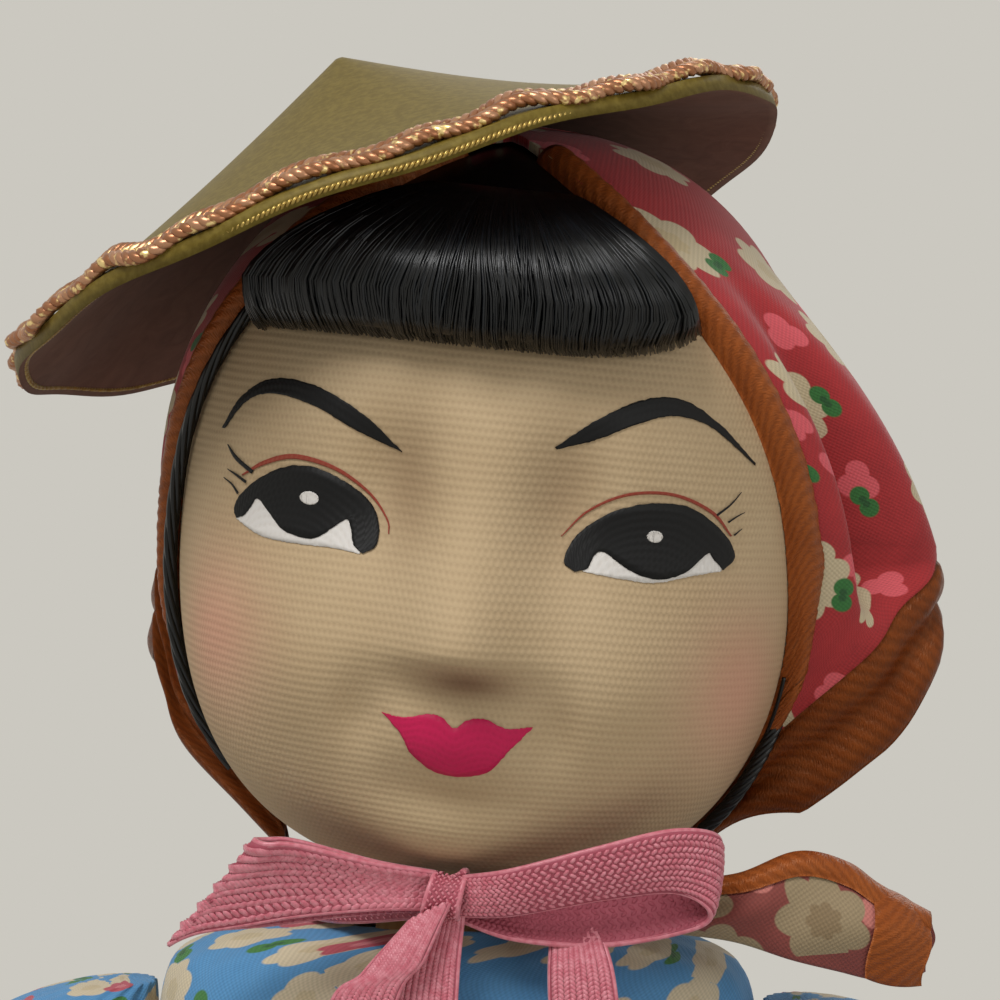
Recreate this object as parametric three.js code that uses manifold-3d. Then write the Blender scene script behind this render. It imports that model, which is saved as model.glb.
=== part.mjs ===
// A dressed doll with a cloth-covered mask face, a headscarf, a cone hat and a ribbon bow, on a turned stand.
// Millimetres, +Z up. The origin is the middle of the stand's underside, and the doll faces -Y.
// Left and right are the doll's own sides, so left is +X.

import * as THREE from 'three';
import { mergeVertices } from 'three/addons/utils/BufferGeometryUtils.js';
import Module from 'manifold-3d';

const wasm = await Module();
wasm.setup();

// Fits
const CLEARANCE = 0.3;
const CLOTH = 0.7;

// Stand
const BASE_RADIUS = 34;
const BASE_HEIGHT = 9;
const FOOT_PEG_RADIUS = 1.7;
const FOOT_PEG_DEPTH = 5.5;

// Legs and feet
const LEG_LENGTH = 73;
const HIP_HEIGHT = BASE_HEIGHT + LEG_LENGTH;
const THIGH_RADIUS = 6.3;
const CALF_RADIUS = 4.3;
const ANKLE_RADIUS = 2.7;
const HIP_TENON_RADIUS = 2.6;
const HIP_TENON_LENGTH = 8;
const SLIPPER_LENGTH = 20;
const SLIPPER_WIDTH = 8.4;
const SLIPPER_HEIGHT = 6.2;
const TROUSER_RADIUS = THIGH_RADIUS + 1.3;
const LEG_SPREAD = TROUSER_RADIUS + 2 * CLEARANCE;
const CUFF_HEIGHT = BASE_HEIGHT + LEG_LENGTH * 0.2;

// Trunk
const TRUNK_LENGTH = 55.7;
const TORSO_TOP = HIP_HEIGHT + TRUNK_LENGTH;
const SHOULDER_HEIGHT = TORSO_TOP - 9.7;
const SHOULDER_HALF_WIDTH = 15.8;
const CHEST_HALF_DEPTH = 10.6;
const AXLE_RADIUS = 1.3;
const NECK_RADIUS = 5;
const NECK_PEG_RADIUS = 3;
const NECK_PEG_RISE = 13;

// Arms
const ARM_RADIUS = 3.3;
const BOSS_RADIUS = 4.2;
const BOSS_WIDTH = 4.6;
const UPPER_ARM_LENGTH = 30;
const KNUCKLE_RADIUS = 3.4;
const KNUCKLE_WIDTH = 6.2;
const TONGUE_WIDTH = 2.4;
const ELBOW_PIN_RADIUS = 0.9;
const FOREARM_LENGTH = 22;
const WRIST_RADIUS = 2.1;
const HAND_LENGTH = 12;
const CAP_RADIUS = 2.3;
const CAP_HEIGHT = 1.2;

// Blouse
const BLOUSE_HEM_HEIGHT = HIP_HEIGHT - 9;
const BLOUSE_HALF_WIDTH = SHOULDER_HALF_WIDTH + 2.2;
const BLOUSE_HALF_DEPTH = CHEST_HALF_DEPTH + 1.4;
const BLOUSE_TOP = TORSO_TOP + 3.1;
const COLLAR_RADIUS = NECK_RADIUS + 2.8;
const SLEEVE_LENGTH = UPPER_ARM_LENGTH * 0.8;
const SLEEVE_RADIUS = 6.3;
const SLEEVE_RISE = 7.4;
const ARM_OFFSET = BLOUSE_HALF_WIDTH + CLEARANCE + SLEEVE_RADIUS;

// Head: a rounded egg on a neck pivot, tilted towards the doll's left shoulder
const PIVOT_HEIGHT = TORSO_TOP + 3.3;
const HEAD_TILT = THREE.MathUtils.degToRad(6);
const FACE_TURN = THREE.MathUtils.degToRad(5);
const HEAD_HALF_WIDTH = 18.3;
const HEAD_HALF_DEPTH = 18.3;
const JAW_HEIGHT = 22.2;
const CROWN_HEIGHT = 21;
const HEAD_MIDDLE = JAW_HEIGHT + 2;
const HEAD_TOP = HEAD_MIDDLE + CROWN_HEIGHT;
const JAW_SQUARENESS = 2.6;
const CROWN_SQUARENESS = 2.15;
const MASK_WALL = 1.7;
const MASK_HALF_ANGLE = THREE.MathUtils.degToRad(104);
const WIG_HALF_ANGLE = THREE.MathUtils.degToRad(74);
const FRINGE_HALF_ANGLE = THREE.MathUtils.degToRad(46);
const FRINGE_INSET = THREE.MathUtils.degToRad(7);
const FRINGE_LOW = HEAD_MIDDLE + 9.4;
const FRINGE_HIGH = HEAD_TOP - 3.4;
const FRINGE_SWELL = 4.3;
const HAIR_EDGE_RADIUS = 0.45;

// Headscarf, measured up from the neck pivot
const OPENING_TOP = HEAD_TOP - 0.8;
const OPENING_LOW = HEAD_MIDDLE - 19.2;
const OPENING_ANGLE = THREE.MathUtils.degToRad(100);
const FLARE_TOP = HEAD_MIDDLE + 14.8;
const FLARE_SLOPE_LEFT = 0.47;
const FLARE_SLOPE_REST = 0.12;
const FLARE_SHARE = 0.09;
const HEM_FRONT = HEAD_MIDDLE - 15.7;
const HEM_CORNER_LEFT = HEAD_MIDDLE - 1.8;
const HEM_CORNER_RIGHT = HEAD_MIDDLE - 6;
const HEM_BACK = HEAD_MIDDLE - 20.2;
const HEM_BAND_WIDTH = 4.2;
const SCARF_FOLD = 0.5;
const BINDING_WIDTH = 2.6;
const BINDING_WALL = 0.8;

// Hat, placed from the neck pivot
const HAT_RADIUS = 23.5;
const HAT_HEIGHT = 12.2;
const HAT_WALL = 0.8;
const HAT_CENTRE = new THREE.Vector3(-7.3, 0.1, HEAD_TOP - 7);
const HAT_ROLL = THREE.MathUtils.degToRad(-24.8);
const HAT_PITCH = THREE.MathUtils.degToRad(-5.2);
const BRAID_RADIUS = 0.85;
const CORD_RADIUS = 0.45;

// Ribbon
const RIBBON_WIDTH = 4.8;
const RIBBON_WALL = 0.7;
const BOW_HEIGHT = BLOUSE_TOP + 2.1;

const SIDES = [{ name: 'left', sign: 1 }, { name: 'right', sign: -1 }];
const TURN = 2 * Math.PI;

// Finishes
const BIRCH = { color: 0xc79a66, roughness: 0.45, metalness: 0 };
const STAINED_WOOD = { color: 0x5a3420, roughness: 0.4, metalness: 0 };
const FACE_CLOTH = { color: 0xd3b78f, roughness: 0.85, metalness: 0 };
const BLACK_FLOSS = { color: 0x101114, roughness: 0.35, metalness: 0 };
const RED_PRINT = { color: 0xb3242a, roughness: 0.9, metalness: 0 };
const COPPER_SATIN = { color: 0x9a4e20, roughness: 0.4, metalness: 0 };
const GOLD_CARD = { color: 0x8a7a2e, roughness: 0.35, metalness: 0.5 };
const METAL_BRAID = { color: 0xa9744c, roughness: 0.35, metalness: 0.8 };
const GOLD_CORD = { color: 0xb9973a, roughness: 0.3, metalness: 0.8 };
const PINK_RAYON = { color: 0xc05a74, roughness: 0.45, metalness: 0 };
const BLUE_PRINT = { color: 0x4d86b8, roughness: 0.9, metalness: 0 };
const NAVY_COTTON = { color: 0x232c44, roughness: 0.9, metalness: 0 };
const BLACK_CLOTH = { color: 0x17171a, roughness: 0.85, metalness: 0 };
const STEEL_WIRE = { color: 0x9a9a98, roughness: 0.35, metalness: 1 };

// Small helpers

const vec = (x, y, z) => new THREE.Vector3(x, y, z);
const lerp = THREE.MathUtils.lerp;
const smooth = (low, high, value) => THREE.MathUtils.smoothstep(value, low, high);
const bell = (distance, spread) => Math.exp(-((distance / spread) ** 2));
const counted = (count, make) => Array.from({ length: count }, (_, index) => make(index));

// A surface gathered ring by ring. All strips of one skin run the same way round.
class Skin {
  constructor() {
    this.points = [];
    this.triangles = [];
  }

  ring(points) {
    return points.map((point) => this.points.push(point) - 1);
  }

  strip(first, second, closed) {
    const steps = closed ? first.length : first.length - 1;
    for (let i = 0; i < steps; i += 1) {
      const next = (i + 1) % first.length;
      this.triangles.push([first[i], first[next], second[next]]);
      this.triangles.push([first[i], second[next], second[i]]);
    }
  }

  fan(ring, apex, reversed) {
    ring.forEach((corner, i) => {
      const next = ring[(i + 1) % ring.length];
      this.triangles.push(reversed ? [next, corner, apex] : [corner, next, apex]);
    });
  }

  volume() {
    return this.triangles.reduce((sum, [a, b, c]) => {
      const normal = this.points[b].clone().cross(this.points[c]);
      return sum + this.points[a].dot(normal);
    }, 0);
  }

  geometry() {
    const outward = this.volume() > 0;
    const index = this.triangles.flatMap(([a, b, c]) => (outward ? [a, b, c] : [a, c, b]));
    const geometry = new THREE.BufferGeometry();
    geometry.setFromPoints(this.points);
    geometry.setIndex(index);
    geometry.computeVertexNormals();
    return geometry;
  }
}

const centroid = (points) => points.reduce((sum, p) => sum.add(p), vec(0, 0, 0)).divideScalar(points.length);

// A solid through closed rings, with a flat cap at each end.
function loft(rings) {
  const skin = new Skin();
  const loops = rings.map((ring) => skin.ring(ring));
  for (let i = 1; i < loops.length; i += 1) {
    skin.strip(loops[i - 1], loops[i], true);
  }
  const [start, end] = skin.ring([centroid(rings[0]), centroid(rings[rings.length - 1])]);
  skin.fan(loops[0], start, true);
  skin.fan(loops[loops.length - 1], end, false);
  return skin.geometry();
}

// A cloth or card wall between outer and inner rings, open below, and closed above by two apex points if given.
function sleeveWall(outerRings, innerRings, apexes) {
  const skin = new Skin();
  const outer = outerRings.map((ring) => skin.ring(ring));
  const inner = innerRings.map((ring) => skin.ring(ring));
  for (let i = 1; i < outer.length; i += 1) {
    skin.strip(outer[i - 1], outer[i], true);
    skin.strip(inner[i], inner[i - 1], true);
  }
  skin.strip(inner[0], outer[0], true);
  const last = outer.length - 1;
  if (apexes) {
    const [outerApex, innerApex] = skin.ring(apexes);
    skin.fan(outer[last], outerApex, false);
    skin.fan(inner[last], innerApex, true);
  } else {
    skin.strip(outer[last], inner[last], true);
  }
  return skin.geometry();
}

// A wall over an open patch: two grids of rows, joined all round the edge.
function patchWall(outerRows, innerRows) {
  const skin = new Skin();
  const outer = outerRows.map((row) => skin.ring(row));
  const inner = innerRows.map((row) => skin.ring(row));
  for (let i = 1; i < outer.length; i += 1) {
    skin.strip(outer[i - 1], outer[i], false);
    skin.strip(inner[i], inner[i - 1], false);
  }
  const edge = (rows) => {
    const last = rows.length - 1;
    const side = rows[0].length - 1;
    return [
      ...rows[0],
      ...counted(last, (i) => rows[i + 1][side]),
      ...counted(side, (i) => rows[last][side - 1 - i]),
      ...counted(last - 1, (i) => rows[last - 1 - i][0]),
    ];
  };
  skin.strip(edge(inner), edge(outer), true);
  return skin.geometry();
}

const ellipse = (centreX, centreY, height, halfWidth, halfDepth, count) => counted(count, (i) => {
  const angle = (TURN * i) / count;
  return vec(centreX + halfWidth * Math.cos(angle), centreY + halfDepth * Math.sin(angle), height);
});

// A turned piece about the Z axis from a list of [radius, height] pairs that ends on the axis.
function turned(profile, segments) {
  const points = profile.map(([radius, height]) => new THREE.Vector2(radius, height));
  const geometry = new THREE.LatheGeometry(points, segments);
  geometry.rotateX(Math.PI / 2);
  return geometry;
}

const rodX = (radius, length, segments) =>
  new THREE.CylinderGeometry(radius, radius, length, segments).rotateZ(Math.PI / 2);

const rodZ = (radius, low, high, segments) =>
  new THREE.CylinderGeometry(radius, radius, high - low, segments).rotateX(Math.PI / 2)
    .translate(0, 0, (low + high) / 2);

// Cutting and joining

function solid(geometry) {
  const bare = geometry.clone();
  bare.deleteAttribute('normal');
  bare.deleteAttribute('uv');
  const merged = mergeVertices(bare);
  const mesh = new wasm.Mesh({
    numProp: 3,
    vertProperties: new Float32Array(merged.attributes.position.array),
    triVerts: new Uint32Array(merged.index.array),
  });
  const made = new wasm.Manifold(mesh);
  return made.volume() < 0 ? solid(flipped(merged)) : made;
}

function flipped(geometry) {
  const turnedOver = geometry.clone();
  const index = turnedOver.index.array;
  for (let i = 0; i < index.length; i += 3) {
    [index[i + 1], index[i + 2]] = [index[i + 2], index[i + 1]];
  }
  return turnedOver;
}

function shape(made) {
  const mesh = made.getMesh();
  const geometry = new THREE.BufferGeometry();
  geometry.setAttribute('position', new THREE.BufferAttribute(new Float32Array(mesh.vertProperties), 3));
  geometry.setIndex(new THREE.BufferAttribute(new Uint32Array(mesh.triVerts), 1));
  geometry.computeVertexNormals();
  return geometry;
}

const cut = (geometry, ...tools) =>
  shape(tools.reduce((made, tool) => made.subtract(solid(tool)), solid(geometry)));

const joined = (geometry, ...others) =>
  shape(others.reduce((made, other) => made.add(solid(other)), solid(geometry)));

function piece(name, geometry, finish) {
  const mesh = new THREE.Mesh(geometry, new THREE.MeshStandardMaterial(finish));
  mesh.name = name;
  return mesh;
}

// Stand, legs, slippers and trousers

const SOLE_HEIGHT = BASE_HEIGHT + CLEARANCE;
const FOOT_TOP = SOLE_HEIGHT + SLIPPER_HEIGHT;

function standGeometry() {
  const profile = [
    [0, 0], [BASE_RADIUS - 1, 0], [BASE_RADIUS, 1], [BASE_RADIUS, BASE_HEIGHT * 0.4],
    [BASE_RADIUS - 1.6, BASE_HEIGHT * 0.5], [BASE_RADIUS - 2.2, BASE_HEIGHT * 0.62],
    [BASE_RADIUS - 2.6, BASE_HEIGHT * 0.86], [BASE_RADIUS - 4, BASE_HEIGHT], [0, BASE_HEIGHT],
  ];
  const sockets = SIDES.map(({ sign }) => rodZ(
    FOOT_PEG_RADIUS + CLEARANCE,
    BASE_HEIGHT - FOOT_PEG_DEPTH - CLEARANCE,
    BASE_HEIGHT + 1,
    14,
  ).translate(sign * LEG_SPREAD, 0, 0));
  return cut(turned(profile, 36), ...sockets);
}

function legGeometry() {
  const calf = lerp(FOOT_TOP, HIP_HEIGHT, 0.4);
  const knee = lerp(FOOT_TOP, HIP_HEIGHT, 0.57);
  const hipGap = HIP_HEIGHT - CLEARANCE;
  const profile = [
    [0, BASE_HEIGHT - FOOT_PEG_DEPTH],
    [FOOT_PEG_RADIUS, BASE_HEIGHT - FOOT_PEG_DEPTH],
    [FOOT_PEG_RADIUS, FOOT_TOP + CLEARANCE],
    [ANKLE_RADIUS, FOOT_TOP + CLEARANCE],
    [ANKLE_RADIUS, FOOT_TOP + 4],
    [CALF_RADIUS * 0.9, lerp(FOOT_TOP, calf, 0.6)],
    [CALF_RADIUS, calf],
    [CALF_RADIUS * 0.84, knee - 3],
    [CALF_RADIUS * 0.95, knee],
    [CALF_RADIUS * 0.9, knee + 3],
    [THIGH_RADIUS * 0.88, lerp(knee, HIP_HEIGHT, 0.5)],
    [THIGH_RADIUS, HIP_HEIGHT - 6],
    [THIGH_RADIUS, hipGap - 1],
    [THIGH_RADIUS - 1, hipGap],
    [HIP_TENON_RADIUS, hipGap],
    [HIP_TENON_RADIUS, HIP_HEIGHT + HIP_TENON_LENGTH],
    [0, HIP_HEIGHT + HIP_TENON_LENGTH],
  ];
  return turned(profile, 12);
}

// A soft slipper: flat sole, round toe in front and a bore for the peg of the leg.
function slipperGeometry() {
  const heel = SLIPPER_LENGTH * 0.34;
  const stations = [
    [0, 0.5, 0.55], [0.08, 0.82, 0.85], [0.3, 0.92, 1], [0.5, 0.95, 0.82],
    [0.72, 1, 0.6], [0.9, 0.82, 0.5], [0.98, 0.5, 0.38],
  ];
  const rings = stations.map(([along, width, height]) => {
    const half = (SLIPPER_WIDTH / 2) * width;
    const top = SLIPPER_HEIGHT * height;
    const y = heel - SLIPPER_LENGTH * along;
    const outline = [[-0.8, 0], [0.8, 0], [1, 0.22], [0.86, 0.62], [0.5, 0.93], [0, 1], [-0.5, 0.93], [-0.86, 0.62],
      [-1, 0.22]];
    return outline.map(([side, rise]) => vec(side * half, y, SOLE_HEIGHT + rise * top));
  });
  return cut(loft(rings), rodZ(FOOT_PEG_RADIUS + CLEARANCE, 0, FOOT_TOP + 5, 14));
}

// A straight trouser leg with soft creases towards the cuff.
function trouserGeometry() {
  const stations = [
    [0, 0.97], [0.1, 0.93], [0.32, 0.9], [0.56, 0.93], [0.76, 0.98], [1, 0.99],
  ];
  const top = HIP_HEIGHT - CLEARANCE - 0.5;
  const rings = (inset) => stations.map(([up, share]) => counted(16, (i) => {
    const angle = (TURN * i) / 16;
    const height = lerp(CUFF_HEIGHT, top, up);
    const crease = 0.35 * Math.cos(3 * angle + height * 0.12) * (1 - height / HIP_HEIGHT);
    const radius = TROUSER_RADIUS * share + crease - inset;
    return vec(radius * Math.cos(angle), radius * Math.sin(angle), height);
  }));
  return sleeveWall(rings(0), rings(CLOTH));
}

// Trunk

function torsoGeometry() {
  const stations = [
    [HIP_HEIGHT, 0.72, 0.9], [HIP_HEIGHT + 3, 0.8, 1], [HIP_HEIGHT + 10, 0.77, 0.96], [HIP_HEIGHT + 20, 0.66, 0.86],
    [lerp(HIP_HEIGHT, SHOULDER_HEIGHT, 0.62), 0.74, 0.94], [SHOULDER_HEIGHT - 8, 0.9, 1],
    [SHOULDER_HEIGHT, 1, 0.98], [SHOULDER_HEIGHT + 4, 0.97, 0.86], [TORSO_TOP - 1.6, 0.78, 0.76], [TORSO_TOP, 0.5, 0.62],
  ];
  const rings = stations.map(([height, width, depth]) =>
    ellipse(0, 0, height, SHOULDER_HALF_WIDTH * width, CHEST_HALF_DEPTH * depth, 20));
  const hipBores = SIDES.map(({ sign }) =>
    rodZ(HIP_TENON_RADIUS + CLEARANCE, HIP_HEIGHT - 5, HIP_HEIGHT + HIP_TENON_LENGTH + CLEARANCE, 14)
      .translate(sign * LEG_SPREAD, 0, 0));
  const axleBore = rodX(AXLE_RADIUS + CLEARANCE, 4 * SHOULDER_HALF_WIDTH, 12).translate(0, 0, SHOULDER_HEIGHT);
  const neckBore = rodZ(NECK_PEG_RADIUS + CLEARANCE, NECK_PEG_FOOT - CLEARANCE, TORSO_TOP + 5, 16);
  return cut(loft(rings), ...hipBores, axleBore, neckBore);
}

const NECK_PEG_FOOT = SHOULDER_HEIGHT + AXLE_RADIUS + 4 * CLEARANCE;
const NECK_FOOT = TORSO_TOP + CLEARANCE;
const NECK_TOP = PIVOT_HEIGHT + 3.2;

// The neck is turned with a thin peg at each end: one in the trunk, one in the head.
function neckGeometry() {
  const profile = [
    [0, NECK_PEG_FOOT], [NECK_PEG_RADIUS, NECK_PEG_FOOT], [NECK_PEG_RADIUS, NECK_FOOT],
    [NECK_RADIUS, NECK_FOOT], [NECK_RADIUS - 0.4, lerp(NECK_FOOT, NECK_TOP, 0.5)], [NECK_RADIUS - 0.6, NECK_TOP],
    [NECK_PEG_RADIUS, NECK_TOP], [NECK_PEG_RADIUS, NECK_TOP + NECK_PEG_RISE - 0.6],
    [NECK_PEG_RADIUS - 0.6, NECK_TOP + NECK_PEG_RISE], [0, NECK_TOP + NECK_PEG_RISE],
  ];
  return turned(profile, 16);
}

// Arms, each built about its own shoulder pivot

const BOSS_INNER = ARM_OFFSET - BOSS_WIDTH / 2;
const BOSS_OUTER = ARM_OFFSET + BOSS_WIDTH / 2;
const AXLE_END = BOSS_OUTER + CLEARANCE + CAP_HEIGHT * 0.6;

function upperArmGeometry() {
  const boss = rodX(BOSS_RADIUS, BOSS_WIDTH, 16);
  const shaft = turned([
    [0, -UPPER_ARM_LENGTH + 1], [ARM_RADIUS * 0.95, -UPPER_ARM_LENGTH + 1], [ARM_RADIUS * 0.9, -UPPER_ARM_LENGTH + 6],
    [ARM_RADIUS, -UPPER_ARM_LENGTH * 0.5], [BOSS_WIDTH / 2 - 0.1, -2], [0, -2],
  ], 12);
  const knuckle = rodX(KNUCKLE_RADIUS, KNUCKLE_WIDTH, 16).translate(0, 0, -UPPER_ARM_LENGTH);
  const slotWidth = TONGUE_WIDTH + 2 * CLEARANCE;
  const slotTop = -UPPER_ARM_LENGTH + KNUCKLE_RADIUS + CLEARANCE;
  const slotFoot = -UPPER_ARM_LENGTH - 2 * KNUCKLE_RADIUS;
  const slot = new THREE.BoxGeometry(slotWidth, 4 * KNUCKLE_RADIUS, slotTop - slotFoot)
    .translate(0, 0, (slotTop + slotFoot) / 2);
  const shoulderBore = rodX(AXLE_RADIUS + CLEARANCE, 2 * BOSS_WIDTH, 12);
  const pinBore = rodX(ELBOW_PIN_RADIUS + CLEARANCE, 2 * KNUCKLE_WIDTH, 10).translate(0, 0, -UPPER_ARM_LENGTH);
  return cut(joined(boss, shaft, knuckle), slot, shoulderBore, pinBore);
}

// The forearm hangs from the elbow by a flat tongue and ends in a mitten hand with a thumb.
function forearmGeometry() {
  const tongueRadius = KNUCKLE_RADIUS - CLEARANCE;
  const shaftTop = -KNUCKLE_RADIUS - 2 * CLEARANCE;
  const tongue = rodX(tongueRadius, TONGUE_WIDTH, 16);
  const tongueRoot = new THREE.BoxGeometry(TONGUE_WIDTH, 1.5 * tongueRadius, KNUCKLE_RADIUS + 1.5)
    .translate(0, 0, -(KNUCKLE_RADIUS + 1.5) / 2);
  const shaft = turned([
    [0, -FOREARM_LENGTH], [WRIST_RADIUS, -FOREARM_LENGTH], [WRIST_RADIUS * 1.1, -FOREARM_LENGTH * 0.75],
    [ARM_RADIUS * 0.88, -FOREARM_LENGTH * 0.4], [ARM_RADIUS * 0.85, shaftTop - 1], [ARM_RADIUS * 0.6, shaftTop],
    [0, shaftTop],
  ], 12);
  const palm = loft([
    [0.04, 0.95, 1], [0.2, 0.85, 1.25], [0.45, 0.8, 1.45], [0.75, 0.7, 1.3], [0.93, 0.5, 0.9], [1, 0.22, 0.4],
  ].map(([along, width, depth]) =>
    ellipse(0, 0, -FOREARM_LENGTH + 1 - HAND_LENGTH * along, WRIST_RADIUS * width, WRIST_RADIUS * depth, 12)));
  const thumb = loft([[0.1, 0.3, 0.5], [0.3, 1.2, 0.52], [0.5, 1.75, 0.48], [0.62, 1.95, 0.25]]
    .map(([along, forward, width]) => ellipse(
      0,
      -WRIST_RADIUS * forward,
      -FOREARM_LENGTH - HAND_LENGTH * along,
      WRIST_RADIUS * width,
      WRIST_RADIUS * width,
      8,
    )));
  const pinBore = rodX(ELBOW_PIN_RADIUS + CLEARANCE, 2 * KNUCKLE_WIDTH, 10);
  return cut(joined(tongue, tongueRoot, shaft, palm, thumb), pinBore);
}

// A turned cap with a blind bore, pressed on the end of the shoulder axle.
function axleCapGeometry() {
  const bore = AXLE_RADIUS + CLEARANCE;
  const bottom = AXLE_END - BOSS_OUTER;
  const profile = [
    [bore, 0], [CAP_RADIUS, 0], [CAP_RADIUS, CAP_HEIGHT * 0.5], [CAP_RADIUS * 0.7, CAP_HEIGHT + 0.2],
    [0, CAP_HEIGHT + 0.5], [0, bottom], [bore, bottom], [bore, 0],
  ];
  return turned(profile, 14).rotateY(Math.PI / 2);
}

// A set-in sleeve: a cloth dome over the shoulder that hangs to just above the elbow.
function sleeveGeometry() {
  const top = SLEEVE_RISE;
  const stations = [
    [-SLEEVE_LENGTH, 1.08, 1.18], [-SLEEVE_LENGTH * 0.6, 1.01, 1.08], [-3, 1, 1.06],
    [top * 0.3, 0.97, 1.03], [top * 0.62, 0.85, 0.93], [top * 0.82, 0.62, 0.74], [top * 0.95, 0.34, 0.42],
  ];
  const inside = ARM_OFFSET - SLEEVE_RADIUS;
  const rings = (inset) => stations.map(([height, width, depth]) => counted(16, (i) => {
    const angle = (TURN * i) / 16;
    const hang = Math.max(0, -height / SLEEVE_LENGTH);
    const fold = 0.35 * hang * Math.cos(5 * angle + 0.6);
    const halfWidth = SLEEVE_RADIUS * width;
    const centre = inside + Math.max(halfWidth, SLEEVE_RADIUS * 0.3) + 0.5 * hang - ARM_OFFSET;
    const across = (halfWidth - inset) * Math.cos(angle);
    const along = (SLEEVE_RADIUS * depth + fold - inset) * Math.sin(angle);
    return vec(centre + across, along, height - (height > 0 ? inset * height / top : 0));
  }));
  const crown = inside + SLEEVE_RADIUS * 0.32 - ARM_OFFSET;
  const wall = sleeveWall(rings(0), rings(CLOTH), [vec(crown, 0, top), vec(crown, 0, top - CLOTH)]);
  const axleHole = rodX(AXLE_RADIUS + 2 * CLEARANCE, SLEEVE_RADIUS, 12).translate(-SLEEVE_RADIUS, 0, 0);
  return cut(wall, axleHole);
}

// Blouse: a straight tunic with sloping shoulders and soft folds above the hem.
function blouseGeometry() {
  const stations = [
    [BLOUSE_HEM_HEIGHT, 1, 1.2], [BLOUSE_HEM_HEIGHT + 9, 0.98, 1.14], [BLOUSE_HEM_HEIGHT + 18, 0.92, 1.06],
    [BLOUSE_HEM_HEIGHT + 30, 0.89, 1.02], [BLOUSE_HEM_HEIGHT + 42, 0.94, 1.04], [SHOULDER_HEIGHT - 4, 1, 1.02],
    [SHOULDER_HEIGHT + 3, 1, 0.93], [BLOUSE_TOP - 3.6, 0.93, 0.84], [BLOUSE_TOP - 1.7, 0.73, 0.78],
    [BLOUSE_TOP - 0.6, 0.54, 0.72],
  ];
  const rings = (inset) => [...stations.map(([height, width, depth]) => counted(24, (i) => {
    const angle = (TURN * i) / 24;
    const hang = 1 - smooth(BLOUSE_HEM_HEIGHT, BLOUSE_HEM_HEIGHT + 34, height);
    const fold = 0.5 * hang * Math.cos(7 * angle + 0.4);
    const drop = height > SHOULDER_HEIGHT ? inset * (height - SHOULDER_HEIGHT) / (BLOUSE_TOP - SHOULDER_HEIGHT) : 0;
    const across = (BLOUSE_HALF_WIDTH * width - inset) * Math.cos(angle);
    const along = (BLOUSE_HALF_DEPTH * depth + fold - inset) * Math.sin(angle);
    return vec(across, along, height - drop);
  })), ellipse(0, 0, BLOUSE_TOP - inset, COLLAR_RADIUS, COLLAR_RADIUS, 24)];
  const armholes = rodX(AXLE_RADIUS + 2 * CLEARANCE, 4 * BLOUSE_HALF_WIDTH, 12).translate(0, 0, SHOULDER_HEIGHT);
  return cut(sleeveWall(rings(0), rings(CLOTH)), armholes);
}

// Ribbon and bow

// A flat ribbon along a curve. The banks give the direction across it and the widths its breadth, evenly spaced.
function ribbon(points, banks, widths) {
  const curve = new THREE.CatmullRomCurve3(points);
  const count = points.length * 3;
  const between = (list, share, mix) => {
    const place = share * (list.length - 1);
    const step = Math.min(Math.floor(place), list.length - 2);
    return mix(list[step], list[step + 1], place - step);
  };
  const rings = counted(count, (i) => {
    const share = i / (count - 1);
    const point = curve.getPoint(share);
    const along = curve.getTangent(share);
    const bank = between(banks, share, (first, second, part) => first.clone().lerp(second, part));
    const width = between(widths, share, lerp);
    const across = bank.sub(along.clone().multiplyScalar(bank.dot(along))).normalize();
    const out = along.clone().cross(across).normalize();
    return [[-1, -1], [1, -1], [1, 1], [-1, 1]].map(([side, face]) => point.clone()
      .addScaledVector(across, (side * width) / 2)
      .addScaledVector(out, (face * RIBBON_WALL) / 2));
  });
  return loft(rings);
}

const UPRIGHT = vec(0, 0, 1);
const RIBBON_INNER = COLLAR_RADIUS + 0.4;
const RIBBON_OUTER = RIBBON_INNER + 2 * RIBBON_WALL;

function neckRibbonGeometry() {
  const low = BLOUSE_TOP + CLEARANCE;
  const high = low + RIBBON_WIDTH * 0.36;
  return turned([[RIBBON_INNER, low], [RIBBON_OUTER, low], [RIBBON_OUTER + 0.2, (low + high) / 2],
    [RIBBON_OUTER, high], [RIBBON_INNER, high], [RIBBON_INNER, low]], 32);
}

const KNOT_X = 1;
const KNOT_Y = -(RIBBON_OUTER + 0.2 + CLEARANCE + 1.5);

function knotGeometry() {
  return new THREE.SphereGeometry(1, 14, 8).scale(1.9, 1.5, 1.9).translate(KNOT_X, KNOT_Y, BOW_HEIGHT);
}

// A flat loop that leaves the knot, folds back at its tip and returns behind itself.
function bowLoopGeometry(sign) {
  const reach = sign > 0 ? 13 : 13.4;
  const tipDrop = sign > 0 ? 0.4 : -2.6;
  const start = 2.3;
  const along = (share) => KNOT_X + sign * lerp(start, reach, share);
  const rise = (share) => BOW_HEIGHT + 1.2 * Math.sin(Math.PI * share) + tipDrop * share ** 2;
  const front = [[0, -0.5], [0.3, -1.5], [0.65, -1.2], [0.92, 0.2]];
  const back = [[1, 1.1], [0.9, 1.6], [0.62, 1], [0.3, 0.6], [0, 0.7]];
  const points = [...front, ...back].map(([share, depth]) =>
    vec(along(share), KNOT_Y + depth + 0.8 * share ** 2, rise(share)));
  const lean = vec(sign * 0.3, -0.5, 1);
  const full = RIBBON_WIDTH * 0.9;
  return ribbon(points, [UPRIGHT, lean, lean, lean, UPRIGHT], [full * 0.5, full * 0.95, full, full * 0.85, full * 0.5]);
}

// Three ends hang from the bow: one below the left loop and two from the knot, the right one in front.
const TAILS = [
  { name: 'left', top: 8.4, foot: 9.6, rise: 1.5, lift: 0 },
  { name: 'middle', top: 1.6, foot: 2, rise: 0, lift: 0 },
  { name: 'right', top: -0.2, foot: -5, rise: 0, lift: 2 * RIBBON_WALL },
];

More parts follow.
